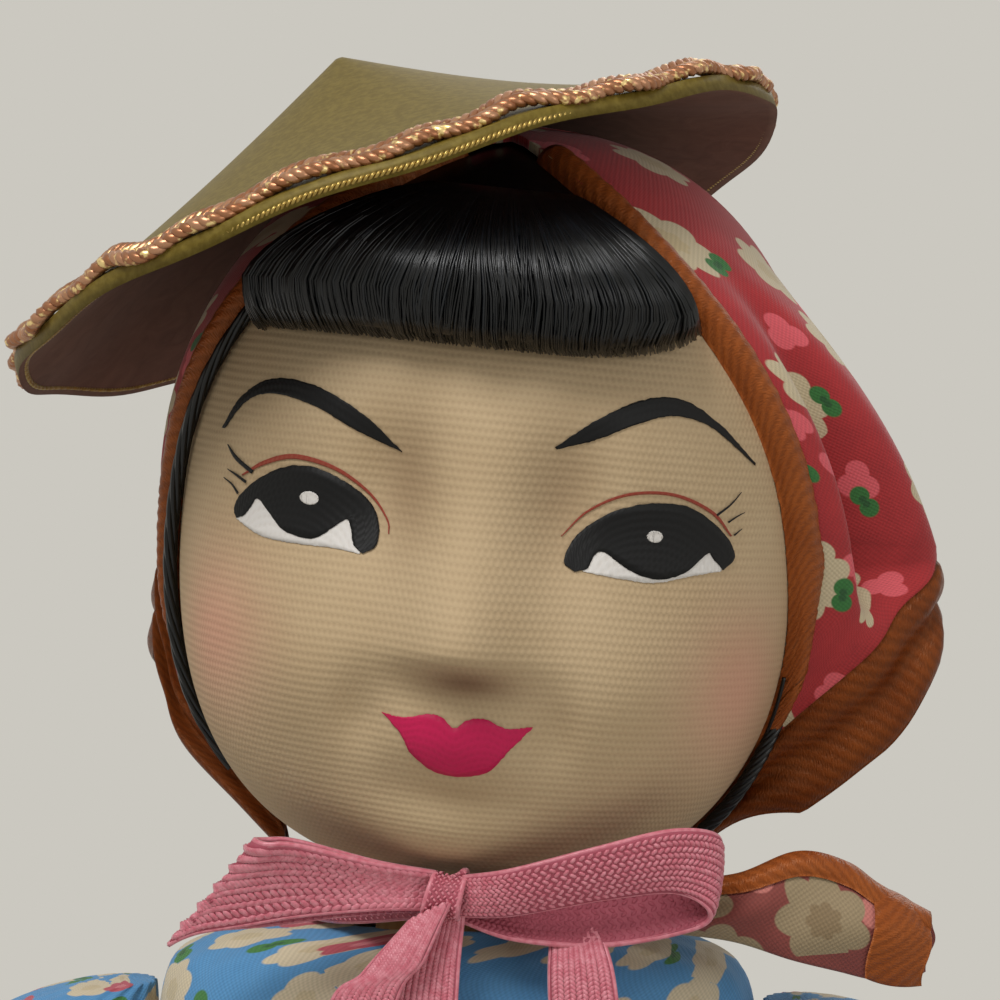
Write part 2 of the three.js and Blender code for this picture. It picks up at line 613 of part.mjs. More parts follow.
function bowTailGeometry({ top, foot, rise, lift }) {
  const seat = BLOUSE_HALF_DEPTH * 1.02 * Math.sqrt(1 - (foot / BLOUSE_HALF_WIDTH) ** 2);
  const front = -(seat + CLEARANCE + RIBBON_WALL / 2 + 0.3) - lift;
  const start = BOW_HEIGHT - 3;
  const points = [
    vec(top, KNOT_Y + 0.2 + 0.6 * rise - lift, start + rise),
    vec(lerp(top, foot, 0.35), front + 0.5, start - 4.5),
    vec(lerp(top, foot, 0.72), front - 0.1, start - 11),
    vec(foot, front - 0.1, start - 19),
  ];
  const across = vec(1, 0, (foot - top) / 19);
  const full = RIBBON_WIDTH * 0.78;
  return ribbon(points, [across, across], [full * 0.8, full, full]);
}

// Head

const squareness = (side) => (side < 0 ? JAW_SQUARENESS : CROWN_SQUARENESS);
const halfHeight = (side) => (side < 0 ? JAW_HEIGHT : CROWN_HEIGHT);

const headShare = (height, grow) => {
  const side = height - HEAD_MIDDLE;
  const power = squareness(side);
  const level = Math.min(1, Math.abs(side) / (halfHeight(side) + grow));
  return (1 - level ** power) ** (1 / power);
};

const levelHeight = (latitude, grow) => {
  const share = Math.abs(Math.sin(latitude)) ** (2 / squareness(latitude));
  return HEAD_MIDDLE + Math.sign(latitude) * (halfHeight(latitude) + grow) * share;
};

// A point of the smooth head, grown outwards by a few millimetres. Azimuth 0 is the nose, and +90 degrees is +X.
function headPoint(azimuth, height, grow) {
  const share = headShare(height, grow);
  return vec(
    (HEAD_HALF_WIDTH + grow) * share * Math.sin(azimuth),
    -(HEAD_HALF_DEPTH + grow) * share * Math.cos(azimuth),
    height,
  );
}

// How far the face stands out from the smooth head: nose, eye hollows, cheeks, lips and chin.
function relief(x, height) {
  const side = Math.abs(x);
  const level = height - HEAD_MIDDLE;
  const fromTip = level + 7.4;
  const nose = 3.6 * bell(x, 2.6 + 0.12 * Math.abs(fromTip)) * bell(fromTip, fromTip > 0 ? 5 : 1.6);
  const hollows = -1.1 * bell(side - 7.6, 4.2) * bell(level + 0.6, 3.4);
  const brow = 0.5 * bell(side - 7, 6) * bell(level - 5, 3);
  const cheeks = 0.9 * bell(side - 9, 4.6) * bell(level + 9.6, 4.4);
  const lips = 0.7 * bell(x, 4) * bell(level + 12.6, 1.9);
  const corners = -0.5 * bell(side - 5, 1.8) * bell(level + 12, 2);
  const chin = 0.9 * bell(x, 4.6) * bell(level + 18.4, 2.6);
  return nose + hollows + brow + cheeks + lips + corners + chin;
}

function facePoint(azimuth, height, grow) {
  const point = headPoint(azimuth, height, grow);
  const facing = Math.max(0, Math.cos(azimuth));
  point.y -= relief(point.x, height) * smooth(0, 0.5, facing);
  return point;
}

const spread = (share) => 0.6 * share + 0.4 * share ** 3;

function maskGeometry() {
  const columns = 20;
  const rows = 21;
  const low = THREE.MathUtils.degToRad(-72);
  const high = THREE.MathUtils.degToRad(60);
  const grid = (make) => counted(rows + 1, (row) => {
    const latitude = lerp(low, high, row / rows);
    return counted(columns + 1, (column) =>
      make(MASK_HALF_ANGLE * spread((2 * column) / columns - 1), latitude));
  });
  const outer = grid((azimuth, latitude) => facePoint(azimuth, levelHeight(latitude, 0), 0));
  const inner = grid((azimuth, latitude) => headPoint(azimuth, levelHeight(latitude, -MASK_WALL), -MASK_WALL));
  return patchWall(outer, inner);
}

const CORE_INSET = -(MASK_WALL + CLEARANCE);

function headCoreGeometry() {
  const latitudes = [-78, -58, -38, -19, 0, 19, 38, 58, 78];
  const rings = latitudes.map((degrees) => {
    const height = levelHeight(THREE.MathUtils.degToRad(degrees), CORE_INSET);
    return counted(20, (i) => headPoint((TURN * i) / 20, height, CORE_INSET));
  });
  const bore = rodZ(NECK_PEG_RADIUS + CLEARANCE, -5, NECK_TOP - PIVOT_HEIGHT + NECK_PEG_RISE + CLEARANCE, 16)
    .rotateY(-HEAD_TILT);
  return cut(loft(rings), bore);
}

function wigGeometry() {
  const grid = (grow) => counted(10, (row) => {
    const latitude = THREE.MathUtils.degToRad(lerp(-60, 60, row / 9));
    return counted(12, (column) => {
      const azimuth = Math.PI + WIG_HALF_ANGLE * ((2 * column) / 11 - 1);
      return headPoint(azimuth, levelHeight(latitude, grow), grow);
    });
  });
  return patchWall(grid(0), grid(-MASK_WALL));
}

// The fringe lies on the forehead and swells into a roll.
function fringeGeometry() {
  const rows = 8;
  const columns = 14;
  const grid = (thickness) => counted(rows + 1, (row) => counted(columns + 1, (column) => {
    const across = (2 * column) / columns - 1;
    const up = row / rows;
    const low = FRINGE_LOW + (across > 0 ? 2.2 : 0.8) * across ** 4;
    const height = lerp(low, FRINGE_HIGH, up);
    const swell = Math.sin(Math.PI * Math.min(1, 0.06 + 0.94 * up)) ** 0.6;
    const fade = (1 - across ** 4) ** 0.5;
    const grow = CLEARANCE + 0.1 + thickness * (0.6 + FRINGE_SWELL * swell * (0.25 + 0.75 * fade));
    const azimuth = across * Math.min(FRINGE_HALF_ANGLE, openingAngle(height) - FRINGE_INSET);
    const point = facePoint(azimuth, height, CLEARANCE + 0.1);
    const pushed = grow - CLEARANCE - 0.1;
    return point.add(vec(Math.sin(azimuth) * pushed, -pushed * 0.95, 0.12 * pushed));
  }));
  return patchWall(grid(1), grid(0));
}

const openingAngle = (height) => {
  const level = THREE.MathUtils.clamp((height - OPENING_LOW) / (OPENING_TOP - OPENING_LOW), 0, 1);
  return OPENING_ANGLE * Math.sqrt(1 - level ** 1.25);
};

// A thin roll of hair that shows between one side of the face and the scarf.
function hairEdgeGeometry(sign) {
  const steps = 18;
  const inset = THREE.MathUtils.degToRad(4);
  const low = OPENING_LOW + 1.5;
  const rings = counted(steps + 1, (i) => {
    const height = lerp(FRINGE_LOW + 2, low, i / steps);
    const azimuth = sign * (openingAngle(height) - inset);
    const middle = facePoint(azimuth, height, CLEARANCE + HAIR_EDGE_RADIUS);
    const out = vec(Math.sin(azimuth), -Math.cos(azimuth), 0);
    const along = vec(Math.cos(azimuth), Math.sin(azimuth), 0);
    return counted(6, (corner) => {
      const angle = (TURN * corner) / 6;
      return middle.clone()
        .addScaledVector(out, HAIR_EDGE_RADIUS * Math.cos(angle))
        .addScaledVector(along, HAIR_EDGE_RADIUS * Math.sin(angle));
    });
  });
  return loft(rings);
}

// Headscarf. Share runs round the head from the left edge of the face opening, round the back, to the right edge.

const DOME_LATITUDES = [80, 72, 66, 58, 48, 36, 22, 10, 0];
const CLOSED_ROWS = 2;
const SKIRT_ROWS = 4;
const SCARF_COLUMNS = 26;
const SCARF_INNER = 0.35;
const SCARF_OUTER = SCARF_INNER + CLOTH * 0.85;

const scarfShare = (column) => {
  const share = column / SCARF_COLUMNS;
  return share - (0.6 * Math.sin(TURN * share)) / TURN;
};

function hemHeight(share) {
  const fromEdge = Math.min(share, 1 - share);
  const corner = share < 0.5 ? HEM_CORNER_LEFT : HEM_CORNER_RIGHT;
  if (fromEdge < FLARE_SHARE) {
    return lerp(HEM_FRONT, corner, (fromEdge / FLARE_SHARE) ** 0.8);
  }
  const backwards = (fromEdge - FLARE_SHARE) / (0.5 - FLARE_SHARE);
  return lerp(HEM_BACK, corner, (1 - backwards) ** 1.5);
}

function scarfPoint(share, row, grow) {
  const lastDome = DOME_LATITUDES.length - 1;
  const latitude = THREE.MathUtils.degToRad(DOME_LATITUDES[Math.min(row, lastDome)]);
  const down = Math.max(0, row - lastDome) / SKIRT_ROWS;
  const nominal = lerp(levelHeight(latitude, 0), hemHeight(share), down);
  const height = lerp(levelHeight(latitude, grow), hemHeight(share), down);
  const opening = openingAngle(nominal);
  const azimuth = opening + (TURN - 2 * opening) * share;
  const fromEdge = Math.min(share, 1 - share);
  const loose = smooth(0, FLARE_SHARE, fromEdge);
  const cornerPull = fromEdge < FLARE_SHARE ? 1 : bell(fromEdge - FLARE_SHARE, 0.08);
  const slope = share < 0.5 ? lerp(FLARE_SLOPE_REST, FLARE_SLOPE_LEFT, cornerPull) : FLARE_SLOPE_REST;
  const snug = headShare(height, grow);
  const hanging = height < HEAD_MIDDLE ? 1 : snug;
  const fold = SCARF_FOLD * down * Math.cos(TURN * 7 * share);
  const flare = loose * (slope * Math.max(0, FLARE_TOP - height) + fold);
  const width = (HEAD_HALF_WIDTH + grow) * lerp(snug, hanging, loose) + flare;
  const depth = (HEAD_HALF_DEPTH + grow) * lerp(snug, hanging, loose) + flare;
  return vec(width * Math.sin(azimuth), -depth * Math.cos(azimuth), height);
}

const LAST_ROW = DOME_LATITUDES.length - 1 + SKIRT_ROWS;

function scarfHoodGeometry() {
  const skin = new Skin();
  const layer = (grow) => counted(LAST_ROW + 1, (row) => {
    const closed = row < CLOSED_ROWS;
    const count = closed ? SCARF_COLUMNS : SCARF_COLUMNS + 1;
    const ring = skin.ring(counted(count, (column) => scarfPoint(scarfShare(column), row, grow)));
    return closed ? [...ring, ring[0]] : ring;
  });
  const outer = layer(SCARF_OUTER);
  const inner = layer(SCARF_INNER);
  for (let row = 1; row <= LAST_ROW; row += 1) {
    skin.strip(outer[row - 1], outer[row], false);
    skin.strip(inner[row], inner[row - 1], false);
  }
  const [outerApex, innerApex] = skin.ring([SCARF_OUTER, SCARF_INNER].map((grow) =>
    vec(0, 0, HEAD_TOP + grow)));
  skin.fan(outer[0].slice(0, -1), outerApex, true);
  skin.fan(inner[0].slice(0, -1), innerApex, false);
  const open = LAST_ROW - CLOSED_ROWS + 1;
  const edge = (rows) => [
    rows[CLOSED_ROWS - 1][0],
    ...counted(open, (i) => rows[CLOSED_ROWS + i][0]),
    ...counted(SCARF_COLUMNS - 1, (i) => rows[LAST_ROW][i + 1]),
    ...counted(open, (i) => rows[LAST_ROW - i][SCARF_COLUMNS]),
  ];
  skin.strip(edge(outer), edge(inner), true);
  return skin.geometry();
}

// Satin binding laid over the scarf's edge beside the face.
function scarfBindingGeometry(sign) {
  const place = (share, row, grow) => scarfPoint(sign > 0 ? share : 1 - share, row, grow);
  const probe = 0.03;
  const grid = (grow) => counted(LAST_ROW - CLOSED_ROWS, (i) => {
    const row = i + CLOSED_ROWS + 1;
    const reach = place(0, row, SCARF_OUTER).distanceTo(place(probe, row, SCARF_OUTER));
    const share = (probe * BINDING_WIDTH) / reach;
    return [0, 0.5, 1].map((across) => place(share * across, row, grow));
  });
  const seat = SCARF_OUTER + CLEARANCE;
  return patchWall(grid(seat + BINDING_WALL), grid(seat));
}

// The wide band goes on below the hem in the direction that the cloth hangs.
function scarfHemBandGeometry() {
  const grid = (grow) => [0, 0.5, 1].map((across) => counted(SCARF_COLUMNS + 1, (column) => {
    const share = scarfShare(column);
    const hem = scarfPoint(share, LAST_ROW, grow);
    const above = scarfPoint(share, LAST_ROW - 1, grow);
    const fall = hem.clone().sub(above).normalize();
    return hem.addScaledVector(fall, CLEARANCE + HEM_BAND_WIDTH * across);
  }));
  return patchWall(grid(SCARF_OUTER), grid(SCARF_INNER));
}

// The loose end of the scarf, tied in under the ribbon and lying over the left shoulder.
function scarfTailGeometry() {
  const stations = [
    [9.4, -4.2, 0, 2], [13.4, -5.4, 0.1, 2.8], [17, -5.6, 0.1, 4], [21, -5, 0.2, 5.4], [25, -4, -0.2, 5.9],
    [28, -3, -0.8, 5.2],
  ];
  const rings = stations.map(([x, y, rise, height]) => {
    const middle = BLOUSE_TOP + 0.9 + rise;
    return [[-0.5, -0.5], [-0.7, 0.1], [-0.3, 0.5], [0.3, 0.5], [0.7, 0], [0.4, -0.5]].map(([thick, up]) =>
      vec(x, y + thick * 1.5, middle + up * height));
  });
  return loft(rings);
}

// Hat

const HAT_SLOPE = Math.atan2(HAT_HEIGHT, HAT_RADIUS);

function hatGeometry() {
  const drop = HAT_WALL / Math.cos(HAT_SLOPE);
  const shares = [1, 0.75, 0.5, 0.25];
  const sag = (share) => 0.5 * Math.sin(Math.PI * share);
  const rings = (lower) => shares.map((share) => ellipse(
    0,
    0,
    HAT_HEIGHT * (1 - share) - sag(share) - lower,
    HAT_RADIUS * share,
    HAT_RADIUS * share,
    36,
  ));
  return sleeveWall(rings(0), rings(drop), [vec(0, 0, HAT_HEIGHT), vec(0, 0, HAT_HEIGHT - drop)]);
}

function brimRing(radius, height, thickness, sides) {
  return new THREE.TorusGeometry(radius, thickness, sides, 36).translate(0, 0, height);
}

// Assembly

function leg({ name, sign }) {
  const group = new THREE.Group();
  group.position.x = sign * LEG_SPREAD;
  group.add(
    piece(`${name}_leg`, legGeometry(), BIRCH),
    piece(`${name}_slipper`, slipperGeometry(), BLACK_CLOTH),
    piece(`${name}_trouser_leg`, trouserGeometry(), NAVY_COTTON),
  );
  return group;
}

function arm({ name, sign }) {
  const group = new THREE.Group();
  group.position.set(sign * ARM_OFFSET, 0, SHOULDER_HEIGHT);
  const elbow = new THREE.Group();
  elbow.position.z = -UPPER_ARM_LENGTH;
  elbow.add(
    piece(`${name}_forearm`, forearmGeometry(), BIRCH),
    piece(`${name}_elbow_pin`, rodX(ELBOW_PIN_RADIUS, KNUCKLE_WIDTH, 10), STEEL_WIRE),
  );
  const cap = piece(`${name}_axle_cap`, axleCapGeometry(), BIRCH);
  cap.position.x = sign * (BOSS_WIDTH / 2 + CLEARANCE);
  const sleeve = piece(`${name}_sleeve`, sleeveGeometry(), BLUE_PRINT);
  if (sign < 0) {
    cap.rotation.z = Math.PI;
    sleeve.rotation.z = Math.PI;
  }
  group.add(piece(`${name}_upper_arm`, upperArmGeometry(), BIRCH), cap, sleeve, elbow);
  return group;
}

function hat() {
  const group = new THREE.Group();
  group.position.copy(HAT_CENTRE);
  group.rotation.set(HAT_PITCH, HAT_ROLL, 0, 'YXZ');
  const seat = BRAID_RADIUS / Math.cos(HAT_SLOPE) + CLEARANCE / 2;
  const braidRadius = HAT_RADIUS - BRAID_RADIUS;
  const braidHeight = (HAT_RADIUS - braidRadius) * Math.tan(HAT_SLOPE) + seat;
  const cordHeight = -HAT_WALL / 2 - CORD_RADIUS;
  group.add(
    piece('hat_cone', hatGeometry(), GOLD_CARD),
    piece('hat_braid', brimRing(braidRadius, braidHeight, BRAID_RADIUS, 5), METAL_BRAID),
    piece('hat_cord', brimRing(HAT_RADIUS + CORD_RADIUS + CLEARANCE / 2, cordHeight, CORD_RADIUS, 4), GOLD_CORD),
  );
  return group;
}

function head() {
  const group = new THREE.Group();
  group.position.z = PIVOT_HEIGHT;
  group.rotation.y = HEAD_TILT;
  const face = new THREE.Group();
  face.rotation.z = FACE_TURN;
  face.add(
    piece('face_mask', maskGeometry(), FACE_CLOTH),
    piece('hair_back', wigGeometry(), BLACK_FLOSS),
  );
  group.add(
    face,
    piece('head_core', headCoreGeometry(), BIRCH),
    piece('hair_fringe', fringeGeometry(), BLACK_FLOSS),
    piece('hair_edge_left', hairEdgeGeometry(1), BLACK_FLOSS),
    piece('hair_edge_right', hairEdgeGeometry(-1), BLACK_FLOSS),
    piece('scarf_hood', scarfHoodGeometry(), RED_PRINT),
    piece('scarf_binding_left', scarfBindingGeometry(1), COPPER_SATIN),
    piece('scarf_binding_right', scarfBindingGeometry(-1), COPPER_SATIN),
    piece('scarf_hem_band', scarfHemBandGeometry(), COPPER_SATIN),
    hat(),
  );
  return group;
}

function trunk() {
  const group = new THREE.Group();
  const axle = piece('shoulder_axle', rodX(AXLE_RADIUS, 2 * AXLE_END, 12), BIRCH);
  axle.position.z = SHOULDER_HEIGHT;
  group.add(
    piece('torso', torsoGeometry(), BIRCH),
    piece('neck_peg', neckGeometry(), BIRCH),
    axle,
    piece('blouse_body', blouseGeometry(), BLUE_PRINT),
    piece('neck_ribbon', neckRibbonGeometry(), PINK_RAYON),
    piece('bow_knot', knotGeometry(), PINK_RAYON),
    piece('scarf_tail', scarfTailGeometry(), RED_PRINT),
  );
  SIDES.forEach(({ name, sign }) => group.add(
    piece(`bow_loop_${name}`, bowLoopGeometry(sign), PINK_RAYON),
  ));
  TAILS.forEach((tail) => group.add(piece(`bow_tail_${tail.name}`, bowTailGeometry(tail), PINK_RAYON)));
  return group;
}

const doll = new THREE.Group();
doll.add(piece('base', standGeometry(), STAINED_WOOD), trunk(), head());
SIDES.forEach((side) => doll.add(leg(side), arm(side)));

export default doll;
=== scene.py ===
# %% [markdown]
# # A small dressed doll with a cone hat
#
# The doll is a jointed wooden figure on a turned base, with a pressed cloth face, floss hair, a printed
# head scarf, a card hat and a ribbon bow. The wooden frame and its joints come from the CAD model, which
# is loaded first and keeps its shape. Everything soft is made here and laid over the solid that it stands
# for, so that cloth looks like cloth and still moves with the right body.

# %% Load the frame
import math

import bmesh
import bpy
import numpy as np
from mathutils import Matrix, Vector


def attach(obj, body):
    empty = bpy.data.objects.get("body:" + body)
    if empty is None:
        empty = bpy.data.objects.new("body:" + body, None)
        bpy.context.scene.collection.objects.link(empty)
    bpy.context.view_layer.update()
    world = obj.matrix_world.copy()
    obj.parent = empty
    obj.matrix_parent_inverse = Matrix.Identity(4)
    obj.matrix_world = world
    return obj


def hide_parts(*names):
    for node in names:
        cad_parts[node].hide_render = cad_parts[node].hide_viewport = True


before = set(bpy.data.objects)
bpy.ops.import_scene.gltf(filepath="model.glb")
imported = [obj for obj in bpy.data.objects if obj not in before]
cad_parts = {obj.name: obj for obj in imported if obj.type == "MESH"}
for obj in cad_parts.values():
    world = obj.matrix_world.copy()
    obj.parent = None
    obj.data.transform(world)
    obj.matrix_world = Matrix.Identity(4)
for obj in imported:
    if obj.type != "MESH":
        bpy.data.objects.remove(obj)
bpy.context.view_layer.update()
scene = bpy.context.scene
scene.view_settings.view_transform = "Standard"
MM = 0.001
# The doll's own left is towards +X.
SIDES = (("left", 1), ("right", -1))

# %% [markdown]
# ## Colours and shader nodes
#
# Colours are written as sRGB hex, as a paint chart gives them, and one function turns them into the
# linear values that a shader wants. Every shader and every Geometry Nodes tree below is put together by
# one helper, which adds a node, sets its properties and constants and joins its incoming links. A node
# that is given as an input stands for its first output, which keeps the recipes short.
#
# The scale of a pattern is how many there are to a millimetre. UV maps are in millimetres, so it is used
# as it is there. Object coordinates are in metres, so it is divided by MM.


# %% Helpers for colours and nodes
def linear(hex_colour):
    channels = [int(hex_colour[start:start + 2], 16) / 255 for start in (1, 3, 5)]
    straight = [c / 12.92 if c <= 0.04045 else ((c + 0.055) / 1.055) ** 2.4 for c in channels]
    return (*straight, 1.0)


def join(tree, node, inputs):
    """Links each input that is given a node or a socket and sets the others; a hex string is a colour."""
    pairs = inputs.items() if isinstance(inputs, dict) else enumerate(inputs)
    for name, item in pairs:
        if isinstance(item, bpy.types.Node):
            item = next(socket for socket in item.outputs if socket.enabled)
        if isinstance(item, bpy.types.NodeSocket):
            tree.links.new(item, node.inputs[name])
        elif isinstance(item, str) and item.startswith("#"):
            node.inputs[name].default_value = linear(item)
        else:
            node.inputs[name].default_value = item


def add(tree, kind, inputs=(), **settings):
    """Adds one node, sets its properties and joins its inputs; a shader node goes without its prefix."""
    node = tree.nodes.new(kind if "Node" in kind else "ShaderNode" + kind)
    for name, setting in settings.items():
        setattr(node, name, setting)
    join(tree, node, inputs)
    return node


def finish_named(name, colour, roughness, **sockets):
    material = bpy.data.materials.new(name)
    material.use_nodes = True
    shader = material.node_tree.nodes["Principled BSDF"]
    shader.inputs["Base Color"].default_value = linear(colour)
    shader.inputs["Roughness"].default_value = roughness
    for socket, value in sockets.items():
        shader.inputs[socket.replace("_", " ")].default_value = value
    return material, material.node_tree, shader


def flecked(name, low, high, flecks, roughness, **sockets):
    """A plain finish with a fine noise between two tones, so many flecks to the millimetre."""
    material, tree, shader = finish_named(name, low, roughness, **sockets)
    place = add(tree, "TexCoord").outputs["Object"]
    noise = add(tree, "TexNoise", {"Vector": place, "Scale": flecks / MM, "Detail": 2.0})
    mixed = add(tree, "Mix", {0: noise, 6: low, 7: high}, data_type="RGBA")
    join(tree, shader, {"Base Color": mixed})
    return material


print("linear mid grey:", round(linear("#808080")[0], 3))

# %% [markdown]
# ## Sheets, tubes and strips
#
# Nearly every soft piece is a curved sheet, a rolled strip or a bundle of strands. A sheet is a grid of
# points whose UV map holds real millimetres, so that a weave or a print keeps its size on every piece.
# Strands are drawn as bare edges, and a Geometry Nodes tree gives them their round section.


# %% Helpers for meshes
def smooth_line(points, count):
    """A smooth curve through a few points, sampled evenly by point."""
    knots = np.asarray(points, float)
    padded = np.vstack([2 * knots[0] - knots[1], knots, 2 * knots[-1] - knots[-2]])
    places = np.linspace(0, len(knots) - 1, count)
    left = np.minimum(places.astype(int), len(knots) - 2)
    t = (places - left)[:, None]
    a, b, c, d = (padded[left + step] for step in range(4))
    square = 2 * a - 5 * b + 4 * c - d
    cube = 3 * b - a - 3 * c + d
    return 0.5 * (2 * b + (c - a) * t + square * t ** 2 + cube * t ** 3)


def run_lengths(line):
    steps = np.linalg.norm(np.diff(line, axis=0), axis=1)
    return np.concatenate([[0], np.cumsum(steps)])


def unit(vectors):
    return vectors / (np.linalg.norm(vectors, axis=-1, keepdims=True) + 1e-9)


def full_turn(count):
    """Angles once round; the last one stops short, as it would be the first again."""
    return np.linspace(0, math.tau, count, endpoint=False)


def oval(angles, half_x, half_y, height):
    return np.stack(np.broadcast_arrays(half_x * np.cos(angles), half_y * np.sin(angles), height), -1)


def sheet_mesh(name, rows, closed=False, flip=False, caps="none", chart_from=None, origin=0.5):
    """A smooth sheet through rows of points in millimetres, with UVs in millimetres from its middle.
    Caps close "both" ends of a closed sheet or the "last" one, chart_from gives the UVs another grid's
    lengths, and origin is how far along a row the UVs start."""
    rows = np.asarray(rows, float)
    count, across = rows.shape[:2]
    plan = rows if chart_from is None else np.asarray(chart_from, float)
    wide = np.concatenate([plan, plan[:, :1]], axis=1) if closed else plan
    middle = int(wide.shape[1] * origin)
    u = np.array([run_lengths(row) for row in wide])
    u -= u[:, middle:middle + 1]
    v = np.array([run_lengths(column) for column in np.moveaxis(wide, 1, 0)]).T
    points = list(rows.reshape(-1, 3) * MM)
    faces = []
    chart = []
    for i in range(count - 1):
        for j in range(wide.shape[1] - 1):
            corners = [(i, j), (i, j + 1), (i + 1, j + 1), (i + 1, j)]
            if flip:
                corners.reverse()
            faces.append([row * across + column % across for row, column in corners])
            chart += [(u[row, column], v[row, column]) for row, column in corners]
    for end in {"both": (0, count - 1), "last": (count - 1,), "none": ()}[caps]:
        points.append(rows[end].mean(axis=0) * MM)
        for j in range(across):
            pair = [(end, j), (end, j + 1)]
            if (end == 0) != flip:
                pair.reverse()
            faces.append([row * across + column % across for row, column in pair] + [len(points) - 1])
            chart += [(u[row, column], v[row, column]) for row, column in pair] + [(0, v[end, 0])]
    mesh = bpy.data.meshes.new(name)
    mesh.from_pydata(points, [], faces)
    layer = mesh.uv_layers.new(name="UVMap")
    layer.data.foreach_set("uv", np.array(chart, np.float32).ravel())
    return mesh


def joined(name, meshes):
    """Several meshes as one, with the first one's materials; the separate ones are cleared away."""
    whole = bmesh.new()
    finishes = list(meshes[0].materials)
    for mesh in meshes:
        whole.from_mesh(mesh)
        bpy.data.meshes.remove(mesh)
    mesh = bpy.data.meshes.new(name)
    whole.to_mesh(mesh)
    whole.free()
    for finish in finishes:
        mesh.materials.append(finish)
    return mesh


def piece(name, mesh, material, body, slot, *nodes):
    """An object at the origin that rides on a body and stands for the CAD nodes named last."""
    mesh.polygons.foreach_set("use_smooth", [True] * len(mesh.polygons))
    obj = bpy.data.objects.new(name, mesh)
    scene.collection.objects.link(obj)
    if material is not None:
        mesh.materials.clear()
        mesh.materials.append(material)
    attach(obj, body)
    if nodes:
        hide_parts(*nodes)
    return obj


def settled(obj):
    """The object's mesh with its modifiers applied; the object itself is cleared away."""
    graph = bpy.context.evaluated_depsgraph_get()
    mesh = bpy.data.meshes.new_from_object(
        obj.evaluated_get(graph), preserve_all_data_layers=True, depsgraph=graph
    )
    bpy.data.objects.remove(obj)
    return mesh


def thickened(mesh, wall, offset=-1.0):
    """A sheet given its cloth thickness in millimetres."""
    obj = bpy.data.objects.new(mesh.name, mesh)
    scene.collection.objects.link(obj)
    solid = obj.modifiers.new("wall", "SOLIDIFY")
    solid.thickness = wall * MM
    solid.offset = offset
    return settled(obj)


def strand_mesh(name, lines, thickness):
    """Bare edges along lines of points in millimetres, each with its own thickness and random tone."""
    points = []
    edges = []
    sizes = []
    tones = []
    tone_draws = np.random.default_rng(11)
    for line, thick in zip(lines, thickness):
        start = len(points)
        points += [tuple(point) for point in np.asarray(line, float) * MM]
        edges += [(start + step, start + step + 1) for step in range(len(line) - 1)]
        sizes += list(np.broadcast_to(thick, len(line)))
        tones += [tone_draws.random()] * len(line)
    mesh = bpy.data.meshes.new(name)
    mesh.from_pydata(points, edges, [])
    for label, values in (("thick", sizes), ("tone", tones)):
        layer = mesh.attributes.new(label, "FLOAT", "POINT")
        layer.data.foreach_set("value", np.array(values, np.float32))
    return mesh


def tree_for(name, inputs):
    tree = bpy.data.node_groups.new(name, "GeometryNodeTree")
    tree.interface.new_socket("Geometry", in_out="OUTPUT", socket_type="NodeSocketGeometry")
    tree.interface.new_socket("Geometry", in_out="INPUT", socket_type="NodeSocketGeometry")
    for label, kind in inputs.items():
        tree.interface.new_socket(label, in_out="INPUT", socket_type=kind)
    start = tree.nodes.new("NodeGroupInput")
    return tree, start


def run_tree(name, mesh, tree, **inputs):
    """Runs a Geometry Nodes tree on a mesh and gives back the plain mesh that it makes."""
    obj = bpy.data.objects.new(name, mesh)
    scene.collection.objects.link(obj)
    modifier = obj.modifiers.new("nodes", "NODES")
    modifier.node_group = tree
    for item in tree.interface.items_tree:
        label = item.name.replace(" ", "_")
        if item.in_out == "INPUT" and label in inputs:
            modifier[item.identifier] = inputs[label]
    made = settled(obj)
    made.name = name
    return made


strand_tree, start = tree_for("Strands to tubes", {
    "Sides": "NodeSocketInt", "Finish": "NodeSocketMaterial",
})
path = add(strand_tree, "GeometryNodeMeshToCurve", {"Mesh": start.outputs["Geometry"]})
section = add(strand_tree, "GeometryNodeCurvePrimitiveCircle", {
    "Resolution": start.outputs["Sides"], "Radius": MM,
})
thick = add(strand_tree, "GeometryNodeInputNamedAttribute", {"Name": "thick"}, data_type="FLOAT")
tubes = add(strand_tree, "GeometryNodeCurveToMesh", {
    "Curve": path, "Profile Curve": section, "Scale": thick, "Fill Caps": True,
})
whole = add(strand_tree, "GeometryNodeRealizeInstances", {"Geometry": tubes})
painted = add(strand_tree, "GeometryNodeSetMaterial", {
    "Geometry": whole, "Material": start.outputs["Finish"],
})
add(strand_tree, "NodeGroupOutput", {"Geometry": painted})


def strands(name, lines, thickness, material, sides=6):
    """Round strands in millimetres along lines, as one mesh."""
    edges = strand_mesh(name, lines, thickness)
    return run_tree(name, edges, strand_tree, Sides=sides, Finish=material)


print("strand tree has", len(strand_tree.nodes), "nodes")

# %% [markdown]
# ## Camera, floor and light
#
# The photograph is a close view of the head and bow, from about eye level and a little to the doll's
# left. Setting up the camera first means every later piece can be judged in place. The light is a plain
# studio set: one large soft lamp at the upper left, weaker ones at the right and behind, and an even
# world. The pale backdrop is only what the camera and reflections see, so it adds no light to the doll.

